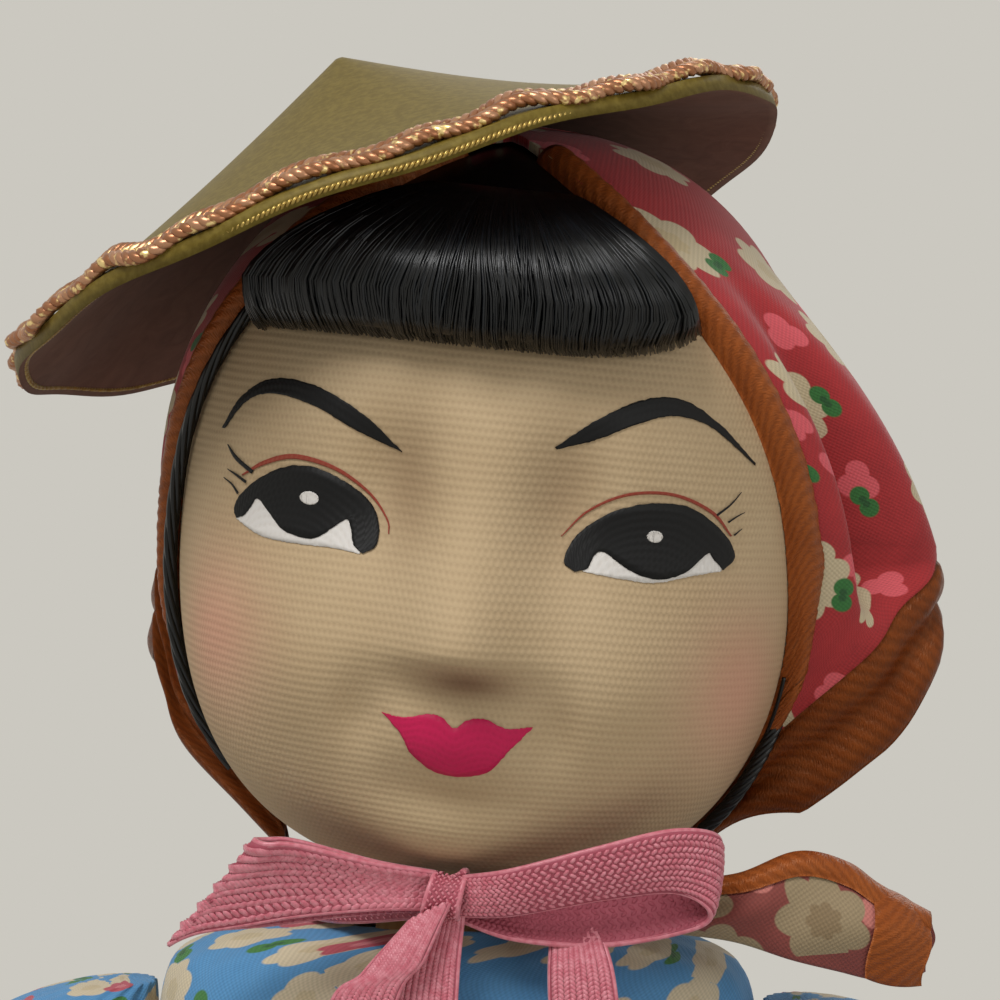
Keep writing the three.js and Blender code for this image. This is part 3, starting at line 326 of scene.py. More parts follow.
# %% Camera
VIEW_AZIMUTH = math.radians(9)
VIEW_ELEVATION = math.radians(2)
VIEW_DISTANCE = 200
VIEW_HEIGHT = 165.05
VIEW_SHIFT = 2.65
VIEW_LENS = 122.45
right = Vector((math.cos(VIEW_AZIMUTH), math.sin(VIEW_AZIMUTH), 0))
target = Vector((0, 0, VIEW_HEIGHT)) + VIEW_SHIFT * right
back = Vector((
    math.sin(VIEW_AZIMUTH) * math.cos(VIEW_ELEVATION),
    -math.cos(VIEW_AZIMUTH) * math.cos(VIEW_ELEVATION),
    math.sin(VIEW_ELEVATION),
))
camera = bpy.data.objects.new("camera", bpy.data.cameras.new("camera"))
camera.data.lens = VIEW_LENS
camera.data.sensor_width = 36
camera.data.clip_start = 0.01
camera.location = (target + VIEW_DISTANCE * back) * MM
camera.rotation_euler = back.to_track_quat("Z", "Y").to_euler()
scene.collection.objects.link(camera)
scene.camera = camera
print("camera at", [round(value, 3) for value in camera.location])


# %% Lamps, world and floor
LAMP_TARGET = Vector((0, 0, 0.15))


def lamp(name, place, watts, size):
    light = bpy.data.lights.new(name, "AREA")
    light.energy = watts
    light.size = size
    holder = bpy.data.objects.new(name, light)
    holder.location = place
    holder.rotation_euler = (Vector(place) - LAMP_TARGET).to_track_quat("Z", "Y").to_euler()
    scene.collection.objects.link(holder)


def seen_rays(tree):
    """1 for what the camera or a reflection shows, and 0 for light that falls on something."""
    rays = add(tree, "LightPath").outputs
    seen = add(tree, "Math", [rays["Is Camera Ray"], rays["Is Glossy Ray"]], operation="MAXIMUM")
    return add(tree, "Math", [seen, rays["Is Transmission Ray"]], operation="MAXIMUM")


lamp("key lamp", (-0.16, -0.42, 0.72), 3.4, 0.3)
lamp("fill lamp", (0.62, -0.5, 0.3), 1.0, 0.4)
lamp("back lamp", (0.15, 0.7, 0.6), 1.1, 0.5)

BACKDROP = linear("#CBC8C0")
world = bpy.data.worlds.new("studio")
world.use_nodes = True
scene.world = world
tree = world.node_tree
shown = add(tree, "Mix", {0: seen_rays(tree), 6: "#A8A8A8", 7: BACKDROP}, data_type="RGBA")
join(tree, tree.nodes["Background"], {"Color": shown})

FLOOR_REACH = 1.5
FLOOR_SIDES = 64
floor_mesh = bpy.data.meshes.new("floor")
rim = oval(full_turn(FLOOR_SIDES), FLOOR_REACH, FLOOR_REACH, -0.2 * MM)
floor_mesh.from_pydata(rim, [], [list(range(FLOOR_SIDES))])
floor = bpy.data.objects.new("floor", floor_mesh)
scene.collection.objects.link(floor)
# Matte paper: a faint tooth near the doll, fading into the backdrop further out.
floor_paper, tree, shader = finish_named("matte floor paper", "#C9C6BE", 0.9)
place = add(tree, "TexCoord").outputs["Object"]
grain = add(tree, "TexNoise", {"Vector": place, "Scale": 0.9 / MM, "Detail": 3.0})
bump = add(tree, "Bump", {"Height": grain, "Strength": 0.1, "Distance": 0.2 * MM})
join(tree, shader, {"Normal": bump})
far = add(tree, "VectorMath", [place], operation="LENGTH")
fade = add(tree, "MapRange", [far.outputs["Value"], 0.12, 0.5, 0.0, 1.0],
           interpolation_type="SMOOTHSTEP")
blend = add(tree, "Math", [fade, seen_rays(tree)], operation="MULTIPLY")
backdrop = add(tree, "Emission", {"Color": BACKDROP, "Strength": 1.0})
mixed = add(tree, "MixShader", [blend, shader, backdrop])
join(tree, tree.nodes["Material Output"], {"Surface": mixed})
floor_mesh.materials.append(floor_paper)
print("three lamps and a floor", 2 * FLOOR_REACH, "m wide")

# %% [markdown]
# ## The head's own frame
#
# The head is a rounded form that leans a little to one side on its peg, and the face is turned slightly
# within it. All its layers, from the cloth face to the scarf, are drawn from the same few formulas: how
# wide the head is at a height, and a point at an angle round it. Angles start at the nose and grow
# towards +X.

# %% Head shape
PIVOT_HEIGHT = 141.0
HEAD_TILT = math.radians(6)
FACE_TURN = math.radians(5)
HEAD_HALF_WIDTH = 18.3
JAW_HEIGHT = 22.2
CROWN_HEIGHT = 21.0
HEAD_MIDDLE = 24.2
JAW_SQUARENESS = 2.6
CROWN_SQUARENESS = 2.15


def bell(distance, spread):
    return np.exp(-(distance / spread) ** 2)


def smoothstep(low, high, value):
    share = np.clip((value - low) / (high - low), 0, 1)
    return share * share * (3 - 2 * share)


def between(a, b, share):
    return a + (b - a) * share


def head_share(height, grow=0.0):
    side = np.asarray(height, float) - HEAD_MIDDLE
    power = np.where(side < 0, JAW_SQUARENESS, CROWN_SQUARENESS)
    reach = np.where(side < 0, JAW_HEIGHT, CROWN_HEIGHT) + grow
    level = np.minimum(1, np.abs(side) / reach)
    return (1 - level ** power) ** (1 / power)


def level_height(latitude, grow=0.0):
    power = np.where(latitude < 0, JAW_SQUARENESS, CROWN_SQUARENESS)
    reach = np.where(latitude < 0, JAW_HEIGHT, CROWN_HEIGHT) + grow
    return HEAD_MIDDLE + np.sign(latitude) * reach * np.abs(np.sin(latitude)) ** (2 / power)


def round_head(azimuth, height, grow=0.0):
    width = (HEAD_HALF_WIDTH + grow) * head_share(height, grow)
    return np.stack(np.broadcast_arrays(width * np.sin(azimuth), -width * np.cos(azimuth), height), -1)


def from_head(points):
    """Points of the upright head, leaned over and set on the neck peg."""
    x, y, z = np.moveaxis(np.asarray(points, float), -1, 0)
    lean, upright = math.sin(HEAD_TILT), math.cos(HEAD_TILT)
    return np.stack([x * upright + z * lean, y, z * upright - x * lean + PIVOT_HEIGHT], -1)


def from_face(points):
    """Points of the straight face, turned a little and then leaned with the head."""
    x, y, z = np.moveaxis(np.asarray(points, float), -1, 0)
    sine, cosine = math.sin(FACE_TURN), math.cos(FACE_TURN)
    return from_head(np.stack([x * cosine - y * sine, x * sine + y * cosine, z], -1))


print("head is", round(float(2 * HEAD_HALF_WIDTH), 1), "mm wide")

# %% [markdown]
# ## The pressed cloth face
#
# The face is a piece of ribbed cream cloth that was damped, pressed over a mould and painted. Sculpting
# it by hand would work, but a few soft bumps added to the round head are easier to place and change:
# nose, eye hollows, brow, cheeks, lips and chin. The weave is drawn by the material, with ribs about 0.45
# mm apart.


# %% Face cloth
def relief(x, height):
    level = height - HEAD_MIDDLE
    side = np.abs(x)
    from_tip = level + 7.4
    nose_spread = 3.5 - 0.1 * np.clip(from_tip, 0, 8)
    nose = 3.2 * bell(x, nose_spread) * bell(from_tip, np.where(from_tip > 0, 5.2, 1.5))
    hollows = -1.7 * bell(side - 4.6, 2.4) * bell(level - 1.2, 4.4)
    hollows -= 0.6 * bell(side - 9.5, 4) * bell(level + 1, 3)
    brow = 0.5 * bell(side - 7, 6) * bell(level - 5.6, 3)
    cheeks = 1.2 * bell(side - 9, 4.4) * bell(level + 9.4, 4.2)
    lips = 0.8 * bell(x, 4) * bell(level + 12.6, 1.9)
    corners = -0.9 * bell(side - 5.3, 1.5) * bell(level + 11.6, 2.2)
    under_lip = -0.5 * bell(x, 4) * bell(level + 15.6, 1.4)
    chin = 1.1 * bell(x, 4.8) * bell(level + 18.4, 2.4)
    return nose + hollows + brow + cheeks + lips + corners + under_lip + chin


def face_point(azimuth, height, grow=0.0):
    point = round_head(azimuth, height, grow)
    front = smoothstep(0, 0.5, np.maximum(0, np.cos(azimuth)))
    point[..., 1] -= relief(point[..., 0], height) * front
    return point


FACE_ROWS = 170
FACE_COLUMNS = 210
latitudes = np.radians(np.linspace(-82, 66, FACE_ROWS))
azimuths = np.radians(np.linspace(-104, 104, FACE_COLUMNS))
heights = level_height(latitudes)[:, None]
face_rows = from_face(face_point(azimuths[None, :], heights))
plain_rows = round_head(azimuths[None, :], heights)
face_cloth_mesh = sheet_mesh("face", face_rows, chart_from=plain_rows)
print("face grid has", len(face_cloth_mesh.polygons), "faces")

# %% [markdown]
# ### Painted cloth
#
# The face cloth is a ribbed cotton, stiffened and matte. Its ribs run across the face and catch the
# light, so the material draws them as bump and as a slight painted shade between the ribs. A soft blush
# was rubbed on the cheeks, and brown shade is painted under the nose, beside its bridge, under the lower
# lip and on the right jaw; all are wide soft spots mixed into the cloth's colour.

# %% Face materials
RIB_SPACING = 0.45
THREAD_SPACING = 0.36


def ribbed_weave(tree):
    """A UV map in millimetres, its two parts, and the height of a ribbed cotton on it, 0 to 1."""
    chart = add(tree, "TexCoord").outputs["UV"]
    wander = add(tree, "TexNoise", {"Vector": chart, "Scale": 0.12, "Detail": 1.0})
    parts = add(tree, "SeparateXYZ", [chart])
    drift = add(tree, "Math", [wander, 0.35], operation="MULTIPLY")
    along = add(tree, "Math", [parts.outputs["Y"], drift], operation="ADD")
    course = add(tree, "Math", [along, 1 / RIB_SPACING], operation="MULTIPLY")
    turn = add(tree, "Math", [course, math.tau], operation="MULTIPLY")
    rib = add(tree, "Math", [turn], operation="SINE")
    row = add(tree, "Math", [course], operation="FLOOR")
    step = add(tree, "Math", [row, 0.5], operation="MULTIPLY")
    thread = add(tree, "Math", [parts.outputs["X"], 1 / THREAD_SPACING], operation="MULTIPLY")
    thread = add(tree, "Math", [thread, step], operation="ADD")
    thread = add(tree, "Math", [thread, math.tau], operation="MULTIPLY")
    thread = add(tree, "Math", [thread], operation="SINE")
    faint = add(tree, "Math", [thread, 0.8], operation="MULTIPLY")
    both = add(tree, "Math", [rib, faint], operation="ADD")
    height = add(tree, "Math", [both, 0.28], operation="MULTIPLY")
    return chart, parts, add(tree, "Math", [height, 0.5], operation="ADD")


def soft_spot(tree, parts, place, spread):
    """A round soft mask, 1 at its middle, at a place on a UV map in millimetres."""
    shares = []
    for axis, middle, reach in zip("XY", place, spread):
        off = add(tree, "Math", [parts.outputs[axis], middle], operation="SUBTRACT")
        off = add(tree, "Math", [off, reach], operation="DIVIDE")
        shares.append(add(tree, "Math", [off, 2.0], operation="POWER"))
    total = add(tree, "Math", shares, operation="ADD")
    falling = add(tree, "Math", [total, -1.0], operation="MULTIPLY")
    return add(tree, "Math", [falling], operation="EXPONENT")


def face_chart(x, height):
    """Where a point of the face lies on the face cloth's UV map."""
    width = HEAD_HALF_WIDTH * float(head_share(height))
    profile = run_lengths(plain_rows[:, FACE_COLUMNS // 2])
    across = math.asin(x / width) * width
    return across, float(np.interp(height, heights[:, 0], profile))


# Ribbed cotton, stiffened with size: matte, cream, with a soft shadow between its ribs.
face_cotton, tree, shader = finish_named("stiffened ribbed cotton", "#C0A883", 0.82)
chart, parts, weave = ribbed_weave(tree)
stain = add(tree, "TexNoise", {"Vector": chart, "Scale": 0.12, "Detail": 3.0})
tone = add(tree, "Mix", {0: stain, 6: "#C8B08C", 7: "#AE946F"}, data_type="RGBA")
groove = add(tree, "MapRange", [weave, 0.0, 0.6, 0.2, 0.0])
colour = add(tree, "Mix", {0: groove, 6: tone, 7: "#7E6242"}, data_type="RGBA")
# Blush rubbed onto the cheeks, then painted shade under the nose, beside its bridge, under the lower lip
# and on the right jaw: each spot's place and spread in millimetres, its strength and its colour.
BLUSH_AND_PAINTED_SHADE = [
    ((-14.4, 15.6), (4.4, 4.6), 0.34, "#DE8078"),
    ((15.0, 15.4), (4.2, 4.4), 0.34, "#DE8078"),
    ((0.4, 15.2), (2.5, 1.0), 0.74, "#5A3218"),
    ((-3.9, 25.2), (1.8, 3.6), 0.46, "#7A5E40"),
    ((4.4, 25.4), (2.0, 3.6), 0.42, "#7A5E40"),
    ((0.2, 8.8), (2.6, 0.7), 0.22, "#8A6440"),
    ((16.2, 11.5), (3.2, 5.5), 0.34, "#8A5238"),
]
for (x, height), spread, strength, spot_colour in BLUSH_AND_PAINTED_SHADE:
    mask = soft_spot(tree, parts, face_chart(x, height), spread)
    mask = add(tree, "Math", [mask, strength], operation="MULTIPLY")
    colour = add(tree, "Mix", {0: mask, 6: colour, 7: spot_colour}, data_type="RGBA")
bump = add(tree, "Bump", {"Height": weave, "Strength": 0.4, "Distance": 0.1 * MM})
join(tree, shader, {"Base Color": colour, "Normal": bump})
face = piece("face", thickened(face_cloth_mesh, 0.9), face_cotton, "head", "face_cloth", "face_mask")


def paint_named(name, colour, worn, roughness):
    """Paint brushed on the ribbed cloth: it sinks into the weave, which still shows through."""
    material, tree, shader = finish_named(name, colour, roughness, Specular_IOR_Level=0.25)
    chart, parts, weave = ribbed_weave(tree)
    thin = add(tree, "MapRange", [weave, 0.1, 0.6, 0.3, 0.0])
    blotch = add(tree, "TexNoise", {"Vector": chart, "Scale": 1.6, "Detail": 2.0})
    patchy = add(tree, "Math", [thin, blotch], operation="MULTIPLY")
    mixed = add(tree, "Mix", {0: patchy, 6: colour, 7: worn}, data_type="RGBA")
    bump = add(tree, "Bump", {"Height": weave, "Strength": 0.22, "Distance": 0.1 * MM})
    join(tree, shader, {"Base Color": mixed, "Normal": bump})
    return material


# Poster paints: matte, and thin enough for the weave to show.
eye_black = paint_named("black eye paint", "#0B0B0C", "#171514", 0.55)
eye_white = paint_named("white eye paint", "#D9D4CE", "#BBAF9F", 0.6)
lid_brown = paint_named("brown lid paint", "#8E3A2C", "#A9765A", 0.65)
lip_red = paint_named("crimson lip paint", "#C21A50", "#8E1236", 0.5)
print("face cloth and four paints")

# %% [markdown]
# ### Painted features
#
# Brows, eyes and mouth are thin layers of paint. An image could hold them, but shapes are sharper: each
# one is drawn as an upper and a lower edge of a few points, smoothed, filled with a fine grid and laid
# just above the cloth. The edges waver a little, as paint does where it runs along a thread.


# %% Brows, eyes and mouth
paint_draws = np.random.default_rng(5)
PAINT_COLUMNS = 72
PAINT_ROWS = 9


def on_face(flat, lift):
    x, height = flat[..., 0], flat[..., 1]
    width = (HEAD_HALF_WIDTH + lift) * head_share(height, lift)
    return from_face(face_point(np.arcsin(np.clip(x / width, -1, 1)), height, lift))


def paint_patch(upper, lower, lift, waver=0.012):
    top = smooth_line(upper, PAINT_COLUMNS)
    bottom = smooth_line(lower, PAINT_COLUMNS)
    top[1:-1] += paint_draws.normal(0, waver, (PAINT_COLUMNS - 2, 2))
    bottom[1:-1] += paint_draws.normal(0, waver, (PAINT_COLUMNS - 2, 2))
    flat = np.array([between(top, bottom, share) for share in np.linspace(0, 1, PAINT_ROWS)])
    return on_face(flat, lift)


def paint_line(middle, widths, lift):
    line = smooth_line(middle, PAINT_COLUMNS)
    half = smooth_line(np.array(widths)[:, None] / 2, PAINT_COLUMNS)
    run = np.gradient(line, axis=0)
    side = np.stack([-run[:, 1], run[:, 0]], -1) / np.linalg.norm(run, axis=1)[:, None]
    flat = np.array([line + side * half * share for share in (1, 0.3, -0.3, -1)])
    return on_face(flat, lift)


def paint_piece(name, patches, material, *nodes):
    meshes = [sheet_mesh(name, rows, flip=True) for rows in patches]
    return piece(name, thickened(joined(name, meshes), 0.02, 1.0), material, "head", "face_cloth", *nodes)


# Each shape is an upper and a lower edge, or a middle line and its widths, in millimetres on the face.
BROWS = [
    ([(-15.1, 27.1), (-14.0, 29.0), (-12.1, 30.2), (-9.4, 30.1), (-6.6, 28.9), (-4.3, 27.1)],
     [(-14.9, 27.1), (-13.6, 28.8), (-11.9, 29.4), (-9.3, 29.0), (-6.8, 27.95), (-4.3, 27.05)]),
    ([(3.9, 28.2), (6.0, 29.9), (8.3, 31.2), (10.4, 31.4), (12.6, 30.2), (14.7, 28.3)],
     [(4.0, 28.1), (6.0, 28.8), (8.2, 29.9), (10.1, 30.5), (12.2, 30.0), (14.7, 28.15)]),
]
EYES = [
    ([(-13.5, 22.3), (-13.7, 22.85), (-13.35, 23.65), (-12.45, 24.55), (-11.3, 25.3), (-10.0, 25.7),
      (-8.7, 25.65), (-7.4, 25.2), (-6.3, 24.6), (-5.45, 23.75), (-5.1, 22.7), (-5.2, 21.85),
      (-5.85, 21.4)],
     [(-13.5, 22.3), (-13.0, 22.55), (-12.65, 23.05), (-12.3, 23.55), (-11.6, 23.0), (-10.6, 22.1),
      (-9.2, 21.8), (-8.4, 22.0), (-7.7, 22.55), (-6.95, 23.1), (-6.65, 22.55), (-6.4, 21.8),
      (-5.85, 21.4)]),
    ([(5.65, 21.65), (5.0, 22.15), (5.4, 23.4), (6.3, 24.35), (7.5, 25.15), (8.85, 25.6), (10.0, 25.75),
      (11.15, 25.7), (12.2, 25.25), (13.2, 24.5), (13.85, 23.75), (14.1, 22.95), (13.55, 22.3)],
     [(5.65, 21.65), (6.3, 21.9), (6.55, 22.55), (6.9, 22.85), (7.35, 22.7), (8.05, 22.25), (8.85, 21.85),
      (9.9, 21.6), (10.9, 21.75), (11.75, 22.25), (12.6, 23.2), (12.95, 22.9), (13.55, 22.3)]),
]
WHITES = [
    ([(-13.45, 22.5), (-12.3, 24.0), (-9.2, 24.2), (-6.9, 23.6), (-5.9, 21.9)],
     [(-13.5, 22.25), (-11.8, 21.55), (-9.7, 21.45), (-7.6, 21.5), (-6.0, 21.35)]),
    ([(5.75, 22.0), (6.9, 23.5), (9.8, 24.0), (12.6, 23.8), (13.5, 22.5)],
     [(6.1, 21.7), (8.0, 21.5), (9.9, 21.4), (11.7, 21.85), (13.45, 22.25)]),
]
LIDS = [
    ([(-13.4, 24.7), (-12.0, 25.6), (-10.2, 26.15), (-7.9, 25.8), (-5.95, 24.7), (-4.75, 23.35),
      (-4.55, 22.6)],
     [0.08, 0.24, 0.28, 0.22, 0.15, 0.09, 0.05]),
    ([(4.7, 23.45), (6.0, 24.95), (8.05, 26.05), (10.45, 26.25), (12.6, 25.45), (13.8, 24.2)],
     [0.05, 0.12, 0.16, 0.18, 0.18, 0.08]),
]
LASHES = [
    ([(-14.55, 26.25), (-13.9, 25.6), (-12.75, 24.95)], [0.06, 0.22, 0.22]),
    ([(-14.4, 24.9), (-13.75, 24.65), (-13.1, 24.35)], [0.04, 0.13, 0.16]),
    ([(-14.6, 24.4), (-14.0, 24.1), (-13.55, 23.65)], [0.04, 0.1, 0.14]),
    ([(14.1, 26.65), (13.6, 25.95), (12.9, 25.3)], [0.03, 0.08, 0.12]),
    ([(14.4, 25.55), (14.0, 25.3), (13.55, 24.95)], [0.03, 0.07, 0.1]),
    ([(14.35, 24.65), (14.15, 24.45), (13.95, 24.25)], [0.03, 0.06, 0.09]),
]
GLINTS = [((-9.2, 24.0), 0.55, 0.36), ((9.7, 23.9), 0.42, 0.32)]
MOUTH = (
    [(-3.95, 13.0), (-3.2, 12.9), (-2.4, 12.95), (-1.4, 13.25), (-0.6, 13.15), (0.1, 12.65), (0.8, 13.15),
     (1.7, 13.3), (2.8, 12.9), (3.55, 12.95), (4.25, 13.05)],
    [(-3.95, 13.0), (-3.4, 12.55), (-2.7, 11.85), (-2.2, 11.0), (-1.05, 10.1), (0.2, 9.85), (1.45, 10.05),
     (2.3, 10.5), (3.05, 11.55), (3.6, 12.2), (4.25, 13.0)],
)
turns = np.linspace(0, math.pi, 9)
glints = [
    [np.stack([x + wide * np.cos(turns), h + side * tall * np.sin(turns)], -1) for side in (1, -1)]
    for (x, h), wide, tall in GLINTS
]
whites = [paint_patch(upper, lower, 0.03) for upper, lower in WHITES]
lids = [paint_line(middle, widths, 0.05) for middle, widths in LIDS]
eyes = [paint_patch(upper, lower, 0.07) for upper, lower in EYES]
lashes = [paint_line(middle, widths, 0.07) for middle, widths in LASHES]
spots = [paint_patch(upper, lower, 0.1, 0.01) for upper, lower in glints]
brows = [paint_patch(upper, lower, 0.05) for upper, lower in BROWS]
features = [
    paint_piece("eye_whites", whites, eye_white),
    paint_piece("eye_lids", lids, lid_brown),
    paint_piece("eyes", eyes + lashes, eye_black),
    paint_piece("eye_glints", spots, eye_white),
    paint_piece("brows", brows, eye_black),
    paint_piece("lips", [paint_patch(*MOUTH, 0.05)], lip_red),
]
# The cloth was cut as an oval, 69 mm by 56 mm, and stretched over the mould.
print("painted", len(EYES), "eyes,", len(BROWS), "brows and a mouth")

# %% [markdown]
# ## Hair
#
# The hair is black embroidery floss. A thick fringe is combed down over the forehead and rolled under,
# and a thin rope of the same floss shows between the cheeks and the scarf. A smooth solid would look like
# rubber, so a core gives the mass, and a Geometry Nodes tree turns over a thousand drawn lines on it
# into fine strands.

# %% Floss material
# Black rayon floss: dark and glossy along each strand. Some strands, at random, are painted a lighter
# blue-grey as a painted sheen, and a streak noise darkens it again in places.
black_floss, tree, shader = finish_named("black rayon floss", "#08090A", 0.3, Specular_IOR_Level=0.4)
tone = add(tree, "Attribute", attribute_name="tone")
painted_sheen_ramp = add(tree, "ValToRGB", {"Fac": tone.outputs["Fac"]})
painted_sheen_ramp.color_ramp.elements[0].color = linear("#050607")
painted_sheen_ramp.color_ramp.elements[1].color = linear("#181C21")
painted_sheen_ramp.color_ramp.elements[0].position = 0.45
streak = add(tree, "TexNoise", {
    "Vector": add(tree, "TexCoord").outputs["Object"], "Scale": 0.7 / MM, "Detail": 2.0,
})
mixed = add(tree, "Mix", {0: streak, 6: "#060708", 7: painted_sheen_ramp}, data_type="RGBA")
bump = add(tree, "Bump", {"Height": streak, "Strength": 0.3, "Distance": 0.1 * MM})
join(tree, shader, {"Base Color": mixed, "Normal": bump})
print("hair finish:", black_floss.name)

# %% Fringe
FRINGE_LOW = 33.4
FRINGE_HIGH = 41.8
OPENING_LOW = 5.0
OPENING_TOP = 44.4
OPENING_ANGLE = math.radians(100)
OPENING_TURN = math.radians(5)
FRINGE_HALF_ANGLE = math.radians(46)
FRINGE_INSET = math.radians(7)
RIGHT_EDGE_SHARE = 0.87
hair_draws = np.random.default_rng(3)


def opening_angle(height):
    level = np.clip((height - OPENING_LOW) / (OPENING_TOP - OPENING_LOW), 0, 1)
    return OPENING_ANGLE * np.sqrt(1 - level ** 1.25)


def edge_angle(sign, height):
    """Angle of the scarf's edge beside the face: it is drawn further forward on the doll's right."""
    return opening_angle(height) * (1 if sign > 0 else RIGHT_EDGE_SHARE)


def fringe_point(across, up, thickness, lift=0.0):
    low = FRINGE_LOW + np.where(across > 0, 2.9, -0.2) * across ** 4
    height = between(low, FRINGE_HIGH, up)
    swell = np.sin(math.pi * np.minimum(1, 0.06 + 0.94 * up)) ** 0.6
    fade = np.sqrt(np.maximum(0, 1 - np.where(across > 0, across ** 4, across ** 12)))
    pushed = thickness * (0.6 + 4.3 * swell * (0.25 + 0.75 * fade)) + lift
    reach = np.minimum(FRINGE_HALF_ANGLE, opening_angle(height) - FRINGE_INSET)
    azimuth = across * reach * np.where(across > 0, 1, 0.9)
    point = face_point(azimuth, height, 0.4)
    return point + np.stack([np.sin(azimuth) * pushed, -0.95 * pushed, 0.12 * pushed], -1)


rises = np.linspace(1, 0, 20)
core = []
for across in np.linspace(-1, 1, 60):
    outer = fringe_point(np.full_like(rises, across), rises, 1.0, -0.25)
    inner = fringe_point(np.full_like(rises, across), rises[::-1], 0.0)
    core.append(from_head(np.vstack([outer, inner])))
fringe_core = sheet_mesh("fringe core", core, closed=True, caps="both")
combed = []
sizes = []
FRINGE_STRANDS = 1150
FRINGE_CURL = 0.12
for across in np.linspace(-0.985, 0.985, FRINGE_STRANDS):
    steps = np.linspace(1, -FRINGE_CURL, 14)
    lean = hair_draws.normal(0, 0.03)
    sway = 0.008 * np.sin(6 * steps + across * 9)
    lane = np.clip(across + hair_draws.normal(0, 0.006) + lean * (1 - steps) + sway, -1, 1)
    lock = 0.16 * np.sin(19 * across + 1.5 * np.sin(6 * across)) + 0.1 * np.sin(47 * across)
    proud = hair_draws.uniform(-0.16, -0.04) + 0.1 + lock * (1.1 - steps)
    curl = np.clip(-steps / FRINGE_CURL, 0, 1)
    line = fringe_point(lane, np.clip(steps, 0, 1), 1.0, proud)
    line[:, 1] += 2.0 * curl
    line[:, 2] -= 0.42 * curl + (0.12 * lock + hair_draws.uniform(-0.12, 0.12)) * (1 - steps) ** 3
    combed.append(from_head(line))
    taper = np.interp(steps, [-FRINGE_CURL, 0.1, 1], [0.6, 1, 0.8])
    sizes.append(hair_draws.uniform(0.06, 0.1) * taper)
fringe_strands = strands("fringe strands", combed, sizes, black_floss, 4)
fringe_mesh = joined("fringe", [fringe_core, fringe_strands])
piece("fringe", fringe_mesh, black_floss, "head", "black_floss", "hair_fringe")
print("fringe has", FRINGE_STRANDS, "strands")

# %% [markdown]
# ### Hair at the cheeks and the back
#
# The side hair is a narrow twisted rope, so five wavy strands are wound round each other along the
# scarf's edge. Behind, under the scarf, the wig is only a smooth cap: it can be seen from below, and no
# strand is needed.

# %% Side ropes and wig cap
EDGE_RADIUS = 0.45
ROPE_STRANDS = 5
ROPE_STEPS = 90
for name, sign in SIDES:
    drop = np.linspace(FRINGE_LOW + 2 if sign < 0 else 16, OPENING_LOW + 1.5, ROPE_STEPS)
    ropes = []
    for turn in range(ROPE_STRANDS):
        phase = math.tau * (turn / ROPE_STRANDS + np.linspace(0, 3.2, ROPE_STEPS))
        tuck = math.radians(3.6) * smoothstep(OPENING_LOW + 1, 11, drop)
        if sign > 0:
            tuck = math.radians(-3) + math.radians(7.5) * smoothstep(16, 8, drop)
        azimuth = sign * (edge_angle(sign, drop) - tuck + 0.012 * np.cos(phase)) - OPENING_TURN
        ropes.append(from_head(face_point(azimuth, drop, 0.1 + EDGE_RADIUS * (1 + 0.5 * np.sin(phase)))))
    rope = strands(name + " side hair", ropes, [0.2] * ROPE_STRANDS, black_floss, 6)
    lock_rows = []
    for behind in np.radians(np.linspace(-1, 14 if sign < 0 else 8, 12)):
        level = np.linspace(drop[0], OPENING_LOW - 0.5, 60)
        azimuth = sign * (edge_angle(sign, level) + behind) - OPENING_TURN
        lock_rows.append(from_head(face_point(azimuth, level, 0.2)))
    lock = thickened(sheet_mesh(name + " side lock", lock_rows, flip=sign > 0), 0.2)
    side_hair = joined(name + " side hair", [rope, lock])
    piece(name + "_side_hair", side_hair, black_floss, "head", "black_floss", "hair_edge_" + name)
wig_rows = []
for latitude in np.radians(np.linspace(60, -60, 26)):
    azimuth = math.pi + np.radians(np.linspace(-82, 82, 56))
    ripple = 0.12 * np.sin(40 * azimuth)
    height = np.full_like(azimuth, level_height(latitude))
    wig_rows.append(from_face(round_head(azimuth, height, ripple + 0.1)))
wig_cap = thickened(sheet_mesh("wig cap", wig_rows, flip=True), 1.0)
piece("wig_cap", wig_cap, black_floss, "head", "black_floss", "hair_back")
crown_rows = []
crown_turn = full_turn(120)
WIG_LIFT = 0.22
for latitude in np.radians(np.linspace(40, 88, 24)):
    ripple = 0.05 * np.sin(48 * crown_turn + 1.5 * np.sin(3 * crown_turn))
    height = np.full_like(crown_turn, level_height(latitude, WIG_LIFT))
    crown_rows.append(from_head(round_head(crown_turn, height, WIG_LIFT) * (1 + 0.003 * ripple[:, None])))
wig_crown = sheet_mesh("wig crown", crown_rows, closed=True, caps="last")
piece("wig_crown", thickened(wig_crown, 0.15), black_floss, "head", "black_floss")
print("side ropes, wig cap and crown made")

# %% [markdown]
# ## The printed scarf
#
# The scarf is a square of printed red cotton, worn as a hood that stands away from the cheek on the
# doll's left and hangs in soft folds behind. One continuous grid makes it: rows of points from the crown
# to the hem, run round the head from one edge of the face to the other. It is then given its cloth
# thickness, so both sides are real.

# %% Scarf shape
FLARE_SHARE = 0.09
FLARE_TOP = 39.0
FLARE_SLOPE_LEFT = 0.445
FLARE_SLOPE_REST = 0.12
FLARE_SLOPE_RIGHT = 0.06
HEM_FRONT_LEFT = 7.0
HEM_FRONT_RIGHT = 4.5
HEM_BACK = 4.0
HEM_CORNER_LEFT = 23.4
HEM_CORNER_RIGHT = 18.2
SCARF_FOLD = 0.5
SCARF_OUTER = 0.945
SCARF_TOP_ANGLE = 80


